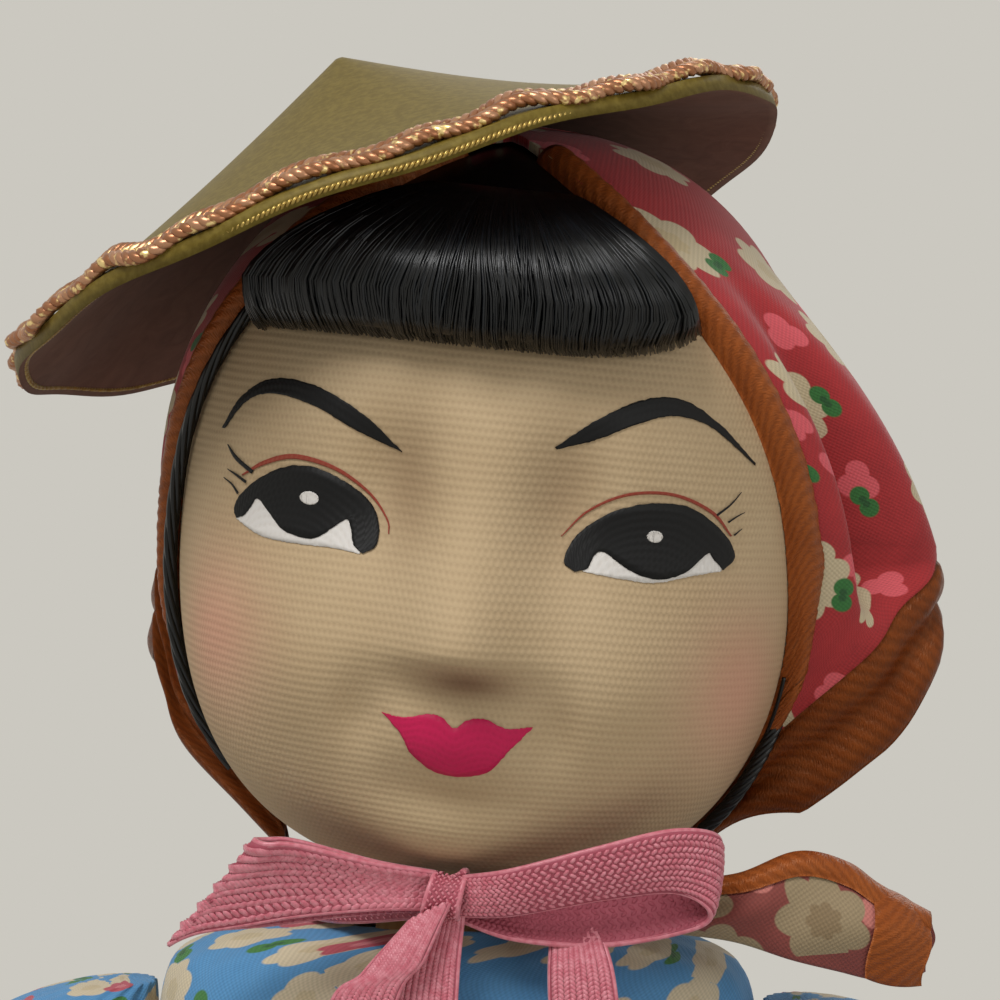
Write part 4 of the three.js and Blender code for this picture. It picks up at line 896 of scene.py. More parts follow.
def hem_height(share):
    from_edge = np.clip(np.minimum(share, 1 - share), 0, None)
    corner = np.where(share < 0.5, HEM_CORNER_LEFT, HEM_CORNER_RIGHT)
    front = np.where(share < 0.5, HEM_FRONT_LEFT, HEM_FRONT_RIGHT)
    climb = np.where(share < 0.5, 0.5, 0.8)
    near = between(front, corner, np.minimum(1, from_edge / FLARE_SHARE) ** climb)
    backwards = np.clip((from_edge - FLARE_SHARE) / (0.5 - FLARE_SHARE), 0, 1)
    return np.where(from_edge < FLARE_SHARE, near, between(HEM_BACK, corner, (1 - backwards) ** 1.5))


def scarf_point(share, down, grow):
    """Share runs round the head; down runs from -1 at the crown through 0 at the ears to 1 at the hem."""
    share, down = np.broadcast_arrays(np.asarray(share, float), np.asarray(down, float))
    latitude = np.radians(SCARF_TOP_ANGLE * np.clip(-down, 0, 1))
    fall = np.clip(down, 0, None)
    nominal = between(level_height(latitude), hem_height(share), fall)
    height = between(level_height(latitude, grow), hem_height(share), fall)
    opening = opening_angle(nominal)
    from_edge = np.clip(np.minimum(share, 1 - share), 0, None)
    turned = OPENING_TURN * (1 - smoothstep(0.02, 0.12, from_edge))
    azimuth = opening + (math.tau - (1 + RIGHT_EDGE_SHARE) * opening) * share - turned
    loose = smoothstep(0, FLARE_SHARE, from_edge)
    pull = np.where(from_edge < FLARE_SHARE, 1, bell(from_edge - FLARE_SHARE, 0.08))
    corner_slope = np.where(share < 0.5, FLARE_SLOPE_LEFT, FLARE_SLOPE_RIGHT)
    slope = between(FLARE_SLOPE_REST, corner_slope, pull)
    snug = head_share(height, grow)
    hanging = np.where(height < HEAD_MIDDLE, 1, snug)
    fold = SCARF_FOLD * fall * np.cos(math.tau * 7 * share)
    flare = loose * (slope * np.maximum(0, FLARE_TOP - height) + fold)
    hugging = 1.5 * (1 - smoothstep(0, 0.05, from_edge)) * smoothstep(17, 7, height)
    width = (HEAD_HALF_WIDTH + grow) * between(snug, hanging, loose) + flare - hugging
    return np.stack([width * np.sin(azimuth), -width * np.cos(azimuth), height], -1)


def scarf_cloth(share, down, grow):
    """The scarf with the soft valleys that form behind its binding and the puckers of a gathered edge."""
    share, down = np.broadcast_arrays(np.asarray(share, float), np.asarray(down, float))
    point = scarf_point(share, down, grow)
    lower = smoothstep(-0.5, 0.5, down)
    open_fold = smoothstep(-0.6, 0.1, down) * (1 - 0.8 * smoothstep(0.5, 1, down))
    left_valley = 5.0 * bell(share - 0.06, 0.015) * open_fold
    right_valley = 0.5 * bell(1 - share - 0.05, 0.014) * lower
    away = smoothstep(0.08, 0.2, np.minimum(share, 1 - share))
    ripple = 0.35 * away * lower * np.cos(math.tau * 11 * share + 2 * down)
    crumple = 0.16 * away * np.sin(23 * share + 5 * down) * np.sin(9 * down + 12 * share)
    push = ripple + crumple - left_valley - right_valley
    return point + unit(point * (1, 1, 0)) * push[..., None]


SCARF_ROWS = np.concatenate([np.linspace(-1, 0, 40)[:-1], np.linspace(0, 1, 46)])
SCARF_COLUMNS = 190
lanes = np.linspace(0, 1, SCARF_COLUMNS)
lanes = lanes - 0.75 * np.sin(math.tau * lanes) / math.tau
hood_rows = np.array([scarf_cloth(lanes, down, SCARF_OUTER) for down in SCARF_ROWS])
hood_sheet = sheet_mesh("scarf", from_head(hood_rows), flip=True, origin=0.2)
print("scarf grid", hood_rows.shape[:2])

# %% [markdown]
# ### Printed cotton and the crown
#
# A printed flower repeats loosely over the cloth, so the material draws it: a pattern of cells places
# each motif, and a lobed outline round its middle fills it in. The scarf's grid stops just short of the
# crown, where its rows would shrink to a point. The top is closed there, under the hat, with a small cap
# on the last row.


# %% Printed cotton
def motif_cells(tree, chart, spacing, seed):
    """Cells of a loose repeat: the offset from each motif's middle in millimetres, and random draws."""
    moved = add(tree, "VectorMath", [chart, (seed * 3.7, seed * 1.9, 0)], operation="ADD")
    cells = add(tree, "TexVoronoi", {
        "Vector": moved, "Scale": 1 / spacing, "Randomness": 0.6,
    }, voronoi_dimensions="2D")
    off = add(tree, "VectorMath", [moved, cells.outputs["Position"]], operation="SUBTRACT")
    return off, cells.outputs["Color"]


def motif(tree, off, chance, petals, size, depth, keep):
    """A blossom mask: 1 inside a lobed outline of a size in millimetres, on some of the cells."""
    parts = add(tree, "SeparateXYZ", [off])
    angle = add(tree, "Math", [parts.outputs["Y"], parts.outputs["X"]], operation="ARCTAN2")
    draws = add(tree, "SeparateColor", [chance])
    spin = add(tree, "Math", [draws.outputs["Green"], math.tau], operation="MULTIPLY")
    turned = add(tree, "Math", [angle, petals / 2], operation="MULTIPLY")
    turned = add(tree, "Math", [turned, spin], operation="ADD")
    wave = add(tree, "Math", [turned], operation="COSINE")
    round_lobe = add(tree, "Math", [wave], operation="ABSOLUTE")
    lobe = add(tree, "Math", [round_lobe, 2 * depth * size], operation="MULTIPLY")
    reach = add(tree, "Math", [lobe, (1 - depth) * size], operation="ADD")
    length = add(tree, "VectorMath", [off], operation="LENGTH")
    gap = add(tree, "Math", [reach, length.outputs["Value"]], operation="SUBTRACT")
    edge = add(tree, "MapRange", [gap, -0.06, 0.06, 0.0, 1.0])
    chosen = add(tree, "Math", [draws.outputs["Red"], keep], operation="LESS_THAN")
    return add(tree, "Math", [edge, chosen], operation="MULTIPLY")


def plain_weave(tree, chart, spacing):
    """Height of a plain weave, 0 to 1, with threads a spacing in millimetres apart."""
    parts = add(tree, "SeparateXYZ", [chart])
    threads = []
    for axis in "XY":
        turn = add(tree, "Math", [parts.outputs[axis], math.tau / spacing], operation="MULTIPLY")
        threads.append(add(tree, "Math", [turn], operation="SINE"))
    both = add(tree, "Math", threads, operation="MULTIPLY")
    half = add(tree, "Math", [both, 0.5], operation="MULTIPLY")
    return add(tree, "Math", [half, 0.5], operation="ADD")


WEAVE_SPACING = 0.32


def printed_cotton(name, ground, ground_shade, motifs):
    """A printed cotton: a mottled ground with motifs laid over it in order."""
    material, tree, shader = finish_named(name, ground, 0.78, Sheen_Weight=0.15)
    chart = add(tree, "TexCoord").outputs["UV"]
    mottle = add(tree, "TexNoise", {"Vector": chart, "Scale": 0.45, "Detail": 4.0})
    colour = add(tree, "Mix", {0: mottle, 6: ground, 7: ground_shade}, data_type="RGBA")
    for number, (cell, petals, size, depth, keep, ink, heart) in enumerate(motifs):
        off, chance = motif_cells(tree, chart, cell, number + 1)
        for scale, fill in ((1.0, ink), (0.38, heart)):
            mask = motif(tree, off, chance, petals, size * scale, depth, keep)
            colour = add(tree, "Mix", {0: mask, 6: colour, 7: fill}, data_type="RGBA")
    weave = plain_weave(tree, chart, WEAVE_SPACING)
    # Painted shade and light: the colour is dimmed on the weave's low threads and lifted a little on its
    # raised ones.
    weave_shade = add(tree, "MapRange", [weave, 0.0, 1.0, 0.82, 1.06])
    mixed = add(tree, "VectorMath", {0: colour, "Scale": weave_shade}, operation="SCALE")
    bump = add(tree, "Bump", {"Height": weave, "Strength": 0.35, "Distance": 0.08 * MM})
    join(tree, shader, {"Base Color": mixed, "Normal": bump})
    return material


# Red printed cotton: a fine plain weave, matte, with cream blossoms, pink buds and green leaves. Each
# motif has a spacing, petals, a size in millimetres, a depth of lobe, a share of the cells and two inks.
red_print = printed_cotton("printed red cotton", "#B5282B", "#981D22", [
    (6.2, 3, 1.15, 0.25, 0.5, "#DA5A62", "#DA5A62"),
    (8.0, 7, 2.35, 0.14, 0.9, "#C9B896", "#C2AE86"),
    (6.8, 2, 0.75, 0.5, 0.5, "#2E6F30", "#1F5426"),
])
hood = piece("scarf", thickened(hood_sheet, 0.55), red_print, "head", "red_print_cotton", "scarf_hood")
top_row = from_head(scarf_point(lanes[:-1], -1, SCARF_OUTER))
crown = np.array([between(top_row, from_head(np.array([0, 0, 46.2])), share) for share in (0, 0.4, 0.8)])
crown_sheet = thickened(sheet_mesh("scarf crown", crown, closed=True, caps="last"), 0.55)
hood_parts = [piece("scarf_crown", crown_sheet, red_print, "head", "red_print_cotton")]
print("scarf cloth laid over the head")

# %% [markdown]
# ### Satin binding and hem band
#
# The edges are bound in copper-brown satin: a narrow rounded binding beside the face and a wide folded
# band below the hem. Each is a strip that follows the scarf's own edge, with a softly padded section and
# fine puckers from sewing.

# %% Satin strips
BINDING_WIDTH = 1.55
BINDING_TOP_ANGLE = 66
BINDING_STEPS = 150
# Measured along the tape, which makes it 0.6 mm from rib to rib.
SATIN_RIB_STEP = 0.85
BAND_PLACES = [0, 0.021, 0.045, 0.09, 0.16, 0.9, 1]
BAND_DEPTHS = [3.4, 7.2, 6.6, 3.6, 4.4, 4.4, 3.2]


def bias_satin(name, low, high, dark):
    """Satin tape cut on the bias: shiny, with slanted ribs. They are coarser than real ones, to show."""
    warm = linear("#E8B48C")
    material, tree, shader = finish_named(name, low, 0.36, Specular_IOR_Level=0.5, Specular_Tint=warm)
    chart = add(tree, "TexCoord").outputs["UV"]
    stretch = add(tree, "Mapping", {"Vector": chart, "Scale": (3.2, 9.0, 1.0), "Rotation": (0, 0, 0.8)})
    threads = add(tree, "TexNoise", {"Vector": stretch, "Scale": 1.0, "Detail": 2.0})
    cloud = add(tree, "TexNoise", {"Vector": chart, "Scale": 0.3, "Detail": 2.0})
    tone = add(tree, "Mix", {0: cloud, 6: low, 7: high}, data_type="RGBA")
    parts = add(tree, "SeparateXYZ", [chart])
    slant = add(tree, "Math", [parts.outputs["X"], parts.outputs["Y"]], operation="ADD")
    slant = add(tree, "Math", [slant, math.tau / SATIN_RIB_STEP], operation="MULTIPLY")
    ribs = add(tree, "Math", [slant], operation="SINE")
    ribbed = add(tree, "Math", [ribs, 0.16], operation="MULTIPLY")
    raised = add(tree, "Math", [threads, ribbed], operation="ADD")
    # Painted shade: the dark colour is laid into the sunk threads and ribs.
    sunk_shade = add(tree, "MapRange", [raised, 0.6, 0.34, 0.0, 0.34])
    mixed = add(tree, "Mix", {0: sunk_shade, 6: tone, 7: dark}, data_type="RGBA")
    bump = add(tree, "Bump", {"Height": raised, "Strength": 0.45, "Distance": 0.18 * MM})
    join(tree, shader, {"Base Color": mixed, "Normal": bump})
    return material


# Copper satin: the tape beside the face, which shines along its ribs.
copper_satin = bias_satin("copper satin", "#7E3A16", "#A55A28", "#4A1C0C")
# Shaded copper satin: the same cloth, folded double at the hem, and painted darker as shade because
# the band faces down and back.
shaded_copper_satin = bias_satin("shaded copper satin", "#5A2208", "#824012", "#260C05")


def padded_strip(name, middle_rows, swell, thin=0.35, groove=0.0):
    """A closed soft strip: rows run across it, it swells away from the cloth, and a groove may part it."""
    rows = np.asarray(middle_rows)
    along = np.gradient(rows, axis=0)
    across = np.gradient(rows, axis=1)
    out = unit(np.cross(along, across))
    share = np.linspace(0, 1, rows.shape[1])
    rise = (swell * np.sin(math.pi * share) ** 0.6 - groove * bell(share - 0.5, 0.2))[None, :, None]
    top = rows + out * rise
    under = rows - out * thin * np.sin(math.pi * share)[None, :, None]
    section = np.concatenate([top, under[:, ::-1]], axis=1)
    return sheet_mesh(name, section, closed=True, flip=True, caps="both")


edge_draws = np.random.default_rng(9)
for name, sign in SIDES:
    drops = np.linspace(-BINDING_TOP_ANGLE / SCARF_TOP_ANGLE, 1, BINDING_STEPS)
    probe = 0.03
    reach = np.linalg.norm(
        scarf_point(0.0, drops, SCARF_OUTER) - scarf_point(probe, drops, SCARF_OUTER), axis=-1
    )
    span = probe * BINDING_WIDTH / reach
    pucker = 0.025 * np.sin(np.arange(BINDING_STEPS) * 1.9)
    pucker += 0.015 * edge_draws.normal(0, 1, BINDING_STEPS)
    strip = []
    for part in np.linspace(0, 1, 14):
        share = span * (1.2 * part - 0.2)
        share = share if sign > 0 else 1 - share
        tucked = 1.1 * (1 - part) ** 3
        strip.append(from_head(scarf_point(share, drops, SCARF_OUTER + 0.2 + pucker - tucked)))
    rows = np.moveaxis(np.array(strip), 0, 1)
    rows = rows if sign < 0 else rows[:, ::-1]
    binding = padded_strip(name + " binding", rows, 0.4)
    hood_parts.append(piece(
        name + "_binding", binding, copper_satin, "head", "copper_satin", "scarf_binding_" + name
    ))

hem = scarf_cloth(lanes, 1.0, SCARF_OUTER)
above = scarf_cloth(lanes, 0.9, SCARF_OUTER)
fall = unit(between(unit(hem - above), np.array([0, 0, -1]), 0.6))
# The band is widest where it crosses the cheek on the doll's left, and narrow at its ends and the corner.
depth = np.interp(lanes, BAND_PLACES, BAND_DEPTHS)[:, None]
band = [from_head(hem + fall * (depth * part - 0.1)) for part in np.linspace(0, 1, 22)]
band_rows = np.moveaxis(np.array(band), 0, 1)
hem_band_mesh = padded_strip("hem band", band_rows[:, ::-1], 0.7, 0.5, groove=0.95)
hood_parts.append(piece("hem_band", hem_band_mesh, shaded_copper_satin, "head", "copper_satin", "scarf_hem_band"))
# The hood was cut 85 mm by 56 mm, with rounded lower corners.
print("two bindings and a hem band")

# %% [markdown]
# ## The cone hat
#
# The hat is a shallow cone of gold card, brown and bare underneath, that sits tilted on the scarf. The
# outside has a metallic paper face with a fine crushed grain. A single thin shell with two materials
# would do, but two sheets a card's thickness apart let each side have its own finish and give the rim a
# real edge.

# %% Hat frame and card
HAT_RADIUS = 23.5
HAT_HEIGHT = 12.2
HAT_WALL = 0.8
HAT_CENTRE = np.array([-7.3, 0.1, 38.2])
HAT_ROLL = math.radians(-24.8)
HAT_PITCH = math.radians(-5.2)
HAT_SLOPE = math.atan2(HAT_HEIGHT, HAT_RADIUS)


def from_hat(points):
    """Points of the upright hat, pitched, rolled and set on the head."""
    x, y, z = np.moveaxis(np.asarray(points, float), -1, 0)
    sine, cosine = math.sin(HAT_PITCH), math.cos(HAT_PITCH)
    y, z = y * cosine - z * sine, y * sine + z * cosine
    sine, cosine = math.sin(HAT_ROLL), math.cos(HAT_ROLL)
    x, z = x * cosine + z * sine, z * cosine - x * sine
    return from_head(np.stack([x, y, z], -1) + HAT_CENTRE)


def rim_wave(angle):
    """How the card has warped: lifted on the doll's left, and wavy all along the rim."""
    lifted = 1.5 * np.maximum(0, np.cos(angle + 0.25)) ** 2
    return lifted + 0.2 * np.sin(3 * angle + 0.7) + 0.16 * np.sin(11 * angle)


def hat_point(angle, share, lower):
    """A point of the cone: share is 1 at the rim and 0 at the peak."""
    sag = 0.5 * np.sin(math.pi * share)
    height = HAT_HEIGHT * (1 - share) - sag - lower + rim_wave(angle) * share ** 3
    radius = HAT_RADIUS * share
    return oval(angle, radius, radius, height)


# Gold card: metallic paper with a fine crushed grain, duller and greyer in worn patches.
gold_card, tree, shader = finish_named(
    "gold paper card", "#6C5A1E", 0.5, Metallic=0.1, Specular_IOR_Level=0.25
)
place = add(tree, "TexCoord").outputs["Object"]
grain = add(tree, "TexNoise", {"Vector": place, "Scale": 2.2 / MM, "Detail": 4.0, "Roughness": 0.6})
worn = add(tree, "TexNoise", {"Vector": place, "Scale": 0.045 / MM, "Detail": 2.0})
fleck = add(tree, "MapRange", [grain, 0.4, 0.62, 0.0, 1.0])
tone = add(tree, "Mix", {0: fleck, 6: "#655418", 7: "#766527"}, data_type="RGBA")
aged = add(tree, "MapRange", [worn, 0.5, 0.8, 0.0, 0.3])
mixed = add(tree, "Mix", {0: aged, 6: tone, 7: "#6A5C38"}, data_type="RGBA")
bump = add(tree, "Bump", {"Height": grain, "Strength": 0.1, "Distance": 0.1 * MM})
join(tree, shader, {"Base Color": mixed, "Normal": bump})

# Brown card: bare grey-brown board, matte, with long pressed fibres.
brown_card, tree, shader = finish_named("bare brown card", "#7A574A", 0.9)
place = add(tree, "TexCoord").outputs["Object"]
fibre = add(tree, "TexNoise", {"Vector": place, "Scale": 0.5 / MM, "Detail": 5.0, "Distortion": 1.5})
mixed = add(tree, "Mix", {0: fibre, 6: "#503022", 7: "#744F3E"}, data_type="RGBA")
bump = add(tree, "Bump", {"Height": fibre, "Strength": 0.3, "Distance": 0.1 * MM})
join(tree, shader, {"Base Color": mixed, "Normal": bump})

HAT_SIDES = 144
angles = full_turn(HAT_SIDES)
drop = HAT_WALL / math.cos(HAT_SLOPE)
shares = np.linspace(0.012, 1, 46)
outer_rows = [from_hat(hat_point(angles, share, 0)) for share in shares]
inner_rows = [from_hat(hat_point(angles, share, drop)) for share in shares]
# One closed skin: from the peak outside, round the rim and back to the peak inside.
hat_mesh = sheet_mesh("hat", outer_rows + inner_rows[::-1], closed=True, flip=True, caps="both")
for finish in (gold_card, brown_card):
    hat_mesh.materials.append(finish)
inside = [face.index >= len(shares) * HAT_SIDES for face in hat_mesh.polygons]
# The caps come last, and the first of the two closes the peak outside.
inside[-HAT_SIDES * 2:-HAT_SIDES] = [False] * HAT_SIDES
hat_mesh.polygons.foreach_set("material_index", np.array(inside, np.int32))
print("hat card has", len(hat_mesh.polygons), "faces")

# %% [markdown]
# ### Braid and cord
#
# Along the rim lies a plaited copper braid with gold sparkle, and below it a thin gold cord of two
# twisted strands. Both follow the rim round, so each strand is a line with a wave added to the rim's own
# path, and the strand tree from above gives the lines their thickness.

# %% Hat trims
# Copper yarn: metallic, of two coppers, and set with pale gold sparks that are painted glints.
copper_yarn, tree, shader = finish_named("copper metallic yarn", "#B07E5C", 0.34, Metallic=0.75)
place = add(tree, "TexCoord").outputs["Object"]
spark = add(tree, "TexNoise", {"Vector": place, "Scale": 1.8 / MM, "Detail": 2.0})
painted_glints = add(tree, "MapRange", [spark, 0.58, 0.66, 0.0, 1.0])
tone = add(tree, "Attribute", attribute_name="tone")
yarn = add(tree, "Mix", {0: tone.outputs["Fac"], 6: "#A06A48", 7: "#CFA07E"}, data_type="RGBA")
mixed = add(tree, "Mix", {0: painted_glints, 6: yarn, 7: "#F3D694"}, data_type="RGBA")
bump = add(tree, "Bump", {"Height": spark, "Strength": 0.5, "Distance": 0.1 * MM})
join(tree, shader, {"Base Color": mixed, "Normal": bump})

# Gold cord: bright metal thread with fine darker flecks.
gold_cord = flecked("gold metal cord", "#7A612A", "#CDB166", 2.2, 0.34, Metallic=0.85)

piece("hat", hat_mesh, None, "head", "gold_card", "hat_cone")
round_rim = np.linspace(-math.pi, math.pi, 1301)
# The braid was glued on by hand: it wanders, and in front it has crept up from the rim.
crept = 0.75 + 0.8 * bell(round_rim + 1.35, 0.4)
crept += 0.3 * np.sin(11 * round_rim + 1) + 0.22 * np.sin(29 * round_rim)
plaits = []
PLAIT_REPEATS = 52
BRAID_STRANDS = 5
for strand in range(BRAID_STRANDS):
    phase = PLAIT_REPEATS * round_rim + math.tau * strand / BRAID_STRANDS
    sway = 0.68 * np.sin(phase) - crept
    lift = 0.3 + 0.14 * np.sin(2 * phase) + 0.16 * np.sin(23 * round_rim)
    radius = HAT_RADIUS + sway * math.cos(HAT_SLOPE) + lift * math.sin(HAT_SLOPE)
    height = -sway * math.sin(HAT_SLOPE) + lift * math.cos(HAT_SLOPE) + rim_wave(round_rim)
    plaits.append(from_hat(oval(round_rim, radius, radius, height)))
braid = strands("hat braid", plaits, [0.29] * BRAID_STRANDS, copper_yarn, 7)
piece("hat_braid_plait", braid, copper_yarn, "head", "metal_braid", "hat_braid")

CORD_TURNS = 240
cord_lines = []
round_cord = np.linspace(-math.pi, math.pi, 2401)
# It shows in front, and slips under the card to either side.
cord_ring = HAT_RADIUS - 0.5 + 0.55 * bell(round_cord + 1.35, 0.55)
for strand in range(2):
    phase = CORD_TURNS * round_cord + math.pi * strand
    radius = cord_ring + 0.1 * np.cos(phase)
    height = -HAT_WALL / 2 - 0.15 + 0.1 * np.sin(phase) + rim_wave(round_cord)
    cord_lines.append(from_hat(oval(round_cord, radius, radius, height)))
cord = strands("hat cord", cord_lines, [0.11] * 2, gold_cord, 5)
piece("hat_cord_twist", cord, gold_cord, "head", "gold_cord", "hat_cord")
print("braid of", PLAIT_REPEATS, "repeats and cord of", CORD_TURNS, "turns")

# %% [markdown]
# ## Ribbon and bow
#
# A flat plaited rayon ribbon is tied round the neck in a bow. Each length of it is a thin strip that
# follows a curve of a few points, banked the way the ribbon lies. The plait is what makes it look like
# rayon: rows of slanted stitches that meet in a herringbone. They repeat over the whole ribbon, so a
# Geometry Nodes tree sets a small stitch on every point.

# %% Rayon and the stitch tree
BLOUSE_TOP = 140.8

# Pink rayon: a shiny plaited yarn, clouded between two pinks, with lighter flecks along its fibres that
# are painted highlights.
pink_rayon, tree, shader = finish_named(
    "pink plaited rayon", "#C2606F", 0.38, Sheen_Weight=0.3, Specular_IOR_Level=0.55
)
place = add(tree, "TexCoord").outputs["Object"]
fibre = add(tree, "TexNoise", {"Vector": place, "Scale": 2.6 / MM, "Detail": 2.0})
cloud = add(tree, "TexNoise", {"Vector": place, "Scale": 0.16 / MM, "Detail": 3.0})
tone = add(tree, "Mix", {0: cloud, 6: "#BC5868", 7: "#CB6D7B"}, data_type="RGBA")
# Painted highlights: the raised fibres are lifted towards a pale pink.
fleck = add(tree, "MapRange", [fibre, 0.35, 0.75, 0.0, 0.6])
mixed = add(tree, "Mix", {0: fleck, 6: tone, 7: "#E59CA6"}, data_type="RGBA")
bump = add(tree, "Bump", {"Height": fibre, "Strength": 0.3, "Distance": 0.1 * MM})
join(tree, shader, {"Base Color": mixed, "Normal": bump})

# Shaded pink rayon: the same ribbon painted darker as shade, for the core seen between the stitches and
# the inner side of a loop.
shaded_pink_rayon = flecked("shaded pink rayon", "#943C4B", "#AE5161", 1.5, 0.6)

stitch_tree, start = tree_for("Stitches on points", {
    "Length": "NodeSocketFloat", "Width": "NodeSocketFloat", "Rise": "NodeSocketFloat",
    "Finish": "NodeSocketMaterial",
})
way = add(stitch_tree, "GeometryNodeInputNamedAttribute", {"Name": "way"}, data_type="FLOAT_VECTOR")
out = add(stitch_tree, "GeometryNodeInputNamedAttribute", {"Name": "out"}, data_type="FLOAT_VECTOR")
turn = add(stitch_tree, "FunctionNodeAxesToRotation", {
    "Primary Axis": way, "Secondary Axis": out,
}, primary_axis="X", secondary_axis="Z")
bead = add(stitch_tree, "GeometryNodeMeshUVSphere", {"Segments": 6, "Rings": 4, "Radius": 1.0})
sizes = add(stitch_tree, "CombineXYZ", {
    "X": start.outputs["Length"], "Y": start.outputs["Width"], "Z": start.outputs["Rise"],
})
placed = add(stitch_tree, "GeometryNodeInstanceOnPoints", {
    "Points": start.outputs["Geometry"], "Instance": bead, "Rotation": turn,
    "Scale": sizes,
})
whole = add(stitch_tree, "GeometryNodeRealizeInstances", {"Geometry": placed})
smooth = add(stitch_tree, "GeometryNodeSetShadeSmooth", {"Geometry": whole})
painted = add(stitch_tree, "GeometryNodeSetMaterial", {
    "Geometry": smooth, "Material": start.outputs["Finish"],
})
add(stitch_tree, "NodeGroupOutput", {"Geometry": painted})


def stitches(name, points, ways, outs, length, width, rise, material):
    """Small raised stitches at points on a surface, given as half sizes in millimetres."""
    mesh = bpy.data.meshes.new(name)
    mesh.from_pydata(np.asarray(points).reshape(-1, 3) * MM, [], [])
    for label, vectors in (("way", ways), ("out", outs)):
        layer = mesh.attributes.new(label, "FLOAT_VECTOR", "POINT")
        layer.data.foreach_set("vector", np.asarray(vectors, np.float32).ravel())
    return run_tree(
        name, mesh, stitch_tree, Length=length * MM, Width=width * MM, Rise=rise * MM, Finish=material
    )


print("stitch tree has", len(stitch_tree.nodes), "nodes")

# %% Ribbon strips
STITCH_PITCH = 0.36
STITCH_LANES = 10


def along_stations(values, count):
    """Values given at evenly spaced stations, smoothed to a count of them."""
    values = np.asarray(values, float)
    return smooth_line(values.reshape(len(values), -1), count)


def ribbon_length(name, points, banks, widths, cup=0.2, shaded=0):
    """A plaited ribbon along points: a thin core painted in shade, slanted stitches on both faces, a cord
    per edge.

    A loop's inner face, 1 or -1, is given as shaded, and its stitches take the core's painted shade.
    """
    count = max(8, int(run_lengths(smooth_line(points, 200))[-1] / STITCH_PITCH))
    line = smooth_line(points, count)
    along = unit(np.gradient(line, axis=0))
    across = unit(along_stations(banks, count))
    out = unit(np.cross(along, across))
    half = along_stations(widths, count) / 2
    lanes = np.linspace(-1, 1, 2 * STITCH_LANES + 1)
    bow = cup * (1 - lanes ** 2)
    rows = line[:, None] + across[:, None] * (half * lanes)[..., None] + out[:, None] * bow[:, None]
    core = thickened(sheet_mesh(name, rows), 0.3, 0.0)
    lane_width = float(np.mean(half)) / STITCH_LANES
    edges = strands(name + " edges", [rows[:, 0], rows[:, -1]], [0.17, 0.17], pink_rayon, 6)
    # Index 0 is the painted shade: the core between the stitches, and the stitches of a loop's inner face.
    bodies = [(core, 0), (edges, 1)]
    for face in (1, -1):
        spots, ways, outs = [], [], []
        for lane in range(STITCH_LANES):
            place = 0.95 * (-1 + (2 * lane + 1) / STITCH_LANES)
            slant = 0.8 if lane % 2 else -0.8
            shift = 0.5 * STITCH_PITCH * (lane % 2)
            rise = cup * (1 - place ** 2) + 0.14 * face
            spots.append(line + across * half * place + out * rise + along * shift)
            ways.append(unit(along + slant * across))
            outs.append(out * face)
        bits = stitches(name + " stitches", np.array(spots), np.array(ways), np.array(outs),
                        1.5 * lane_width, 0.8 * lane_width, 0.09, pink_rayon)
        bodies.append((bits, 0 if face == shaded else 1))
    for mesh, place in bodies:
        mesh.materials.clear()
        mesh.materials.append(shaded_pink_rayon)
        mesh.materials.append(pink_rayon)
        mesh.polygons.foreach_set("material_index", [place] * len(mesh.polygons))
    return joined(name, [mesh for mesh, place in bodies])


print("ribbon stitches are", STITCH_PITCH, "mm apart")

# %% [markdown]
# ### The bow's loops, tails and knot
#
# The doll's right loop lies flat and is folded over at a slant, and the left one stands open, so that its
# shaded back shows under the front. Each station of a loop gives a point, the direction across the ribbon
# there and how wide it is spread, because the ribbon is gathered where it leaves the knot.

# %% Bow
UPRIGHT = (0, 0, 1)
BOW_LOOPS = {
    "right": [
        ((1, -12.8, 143.9), (0.1, -0.1, 1), 2.0), ((-2.4, -13.8, 144.2), (0.2, -0.3, 1), 2.8),
        ((-6.6, -14.4, 144.4), (0.4, -0.4, 1), 4.8), ((-9.8, -14.2, 144), (0.62, -0.4, 0.75), 7.4),
        ((-11.4, -13.6, 143.6), (0.66, -0.35, 0.75), 9), ((-10, -13, 144), (0.6, -0.35, 0.8), 7.2),
        ((-6, -13, 144.2), (0.2, -0.3, 1), 4.6), ((-2, -12.7, 144), (0, -0.2, 1), 2.8),
        ((1, -12.2, 143.8), UPRIGHT, 2),
    ],
    "left": [
        ((2.2, -12.8, 143.6), (0, -0.1, 1), 2.0), ((5.4, -13.6, 144), (-0.1, -0.4, 0.9), 2.7),
        ((10.3, -13.2, 145.1), (-0.15, -0.45, 0.9), 3.2), ((14.2, -12.1, 145.7), (-0.05, -0.3, 1), 3.6),
        ((16.3, -10.7, 144.9), (0.1, 0.1, 1), 4), ((15.4, -9.8, 143.6), (0.1, 0.3, 1), 3.8),
        ((10.3, -10.6, 142.5), (0, 0.5, 1), 3.6), ((5.6, -11.6, 142.6), (0, 0.4, 1), 3),
        ((2.4, -12.2, 143.2), UPRIGHT, 2),
    ],
}
for name, loop_stations in BOW_LOOPS.items():
    points, banks, widths = zip(*loop_stations)
    loop = ribbon_length("bow loop " + name, points, banks, widths, shaded=1 if name == "right" else -1)
    piece("bow_loop_" + name + "_ribbon", loop, None, "figure", "pink_rayon", "bow_loop_" + name)

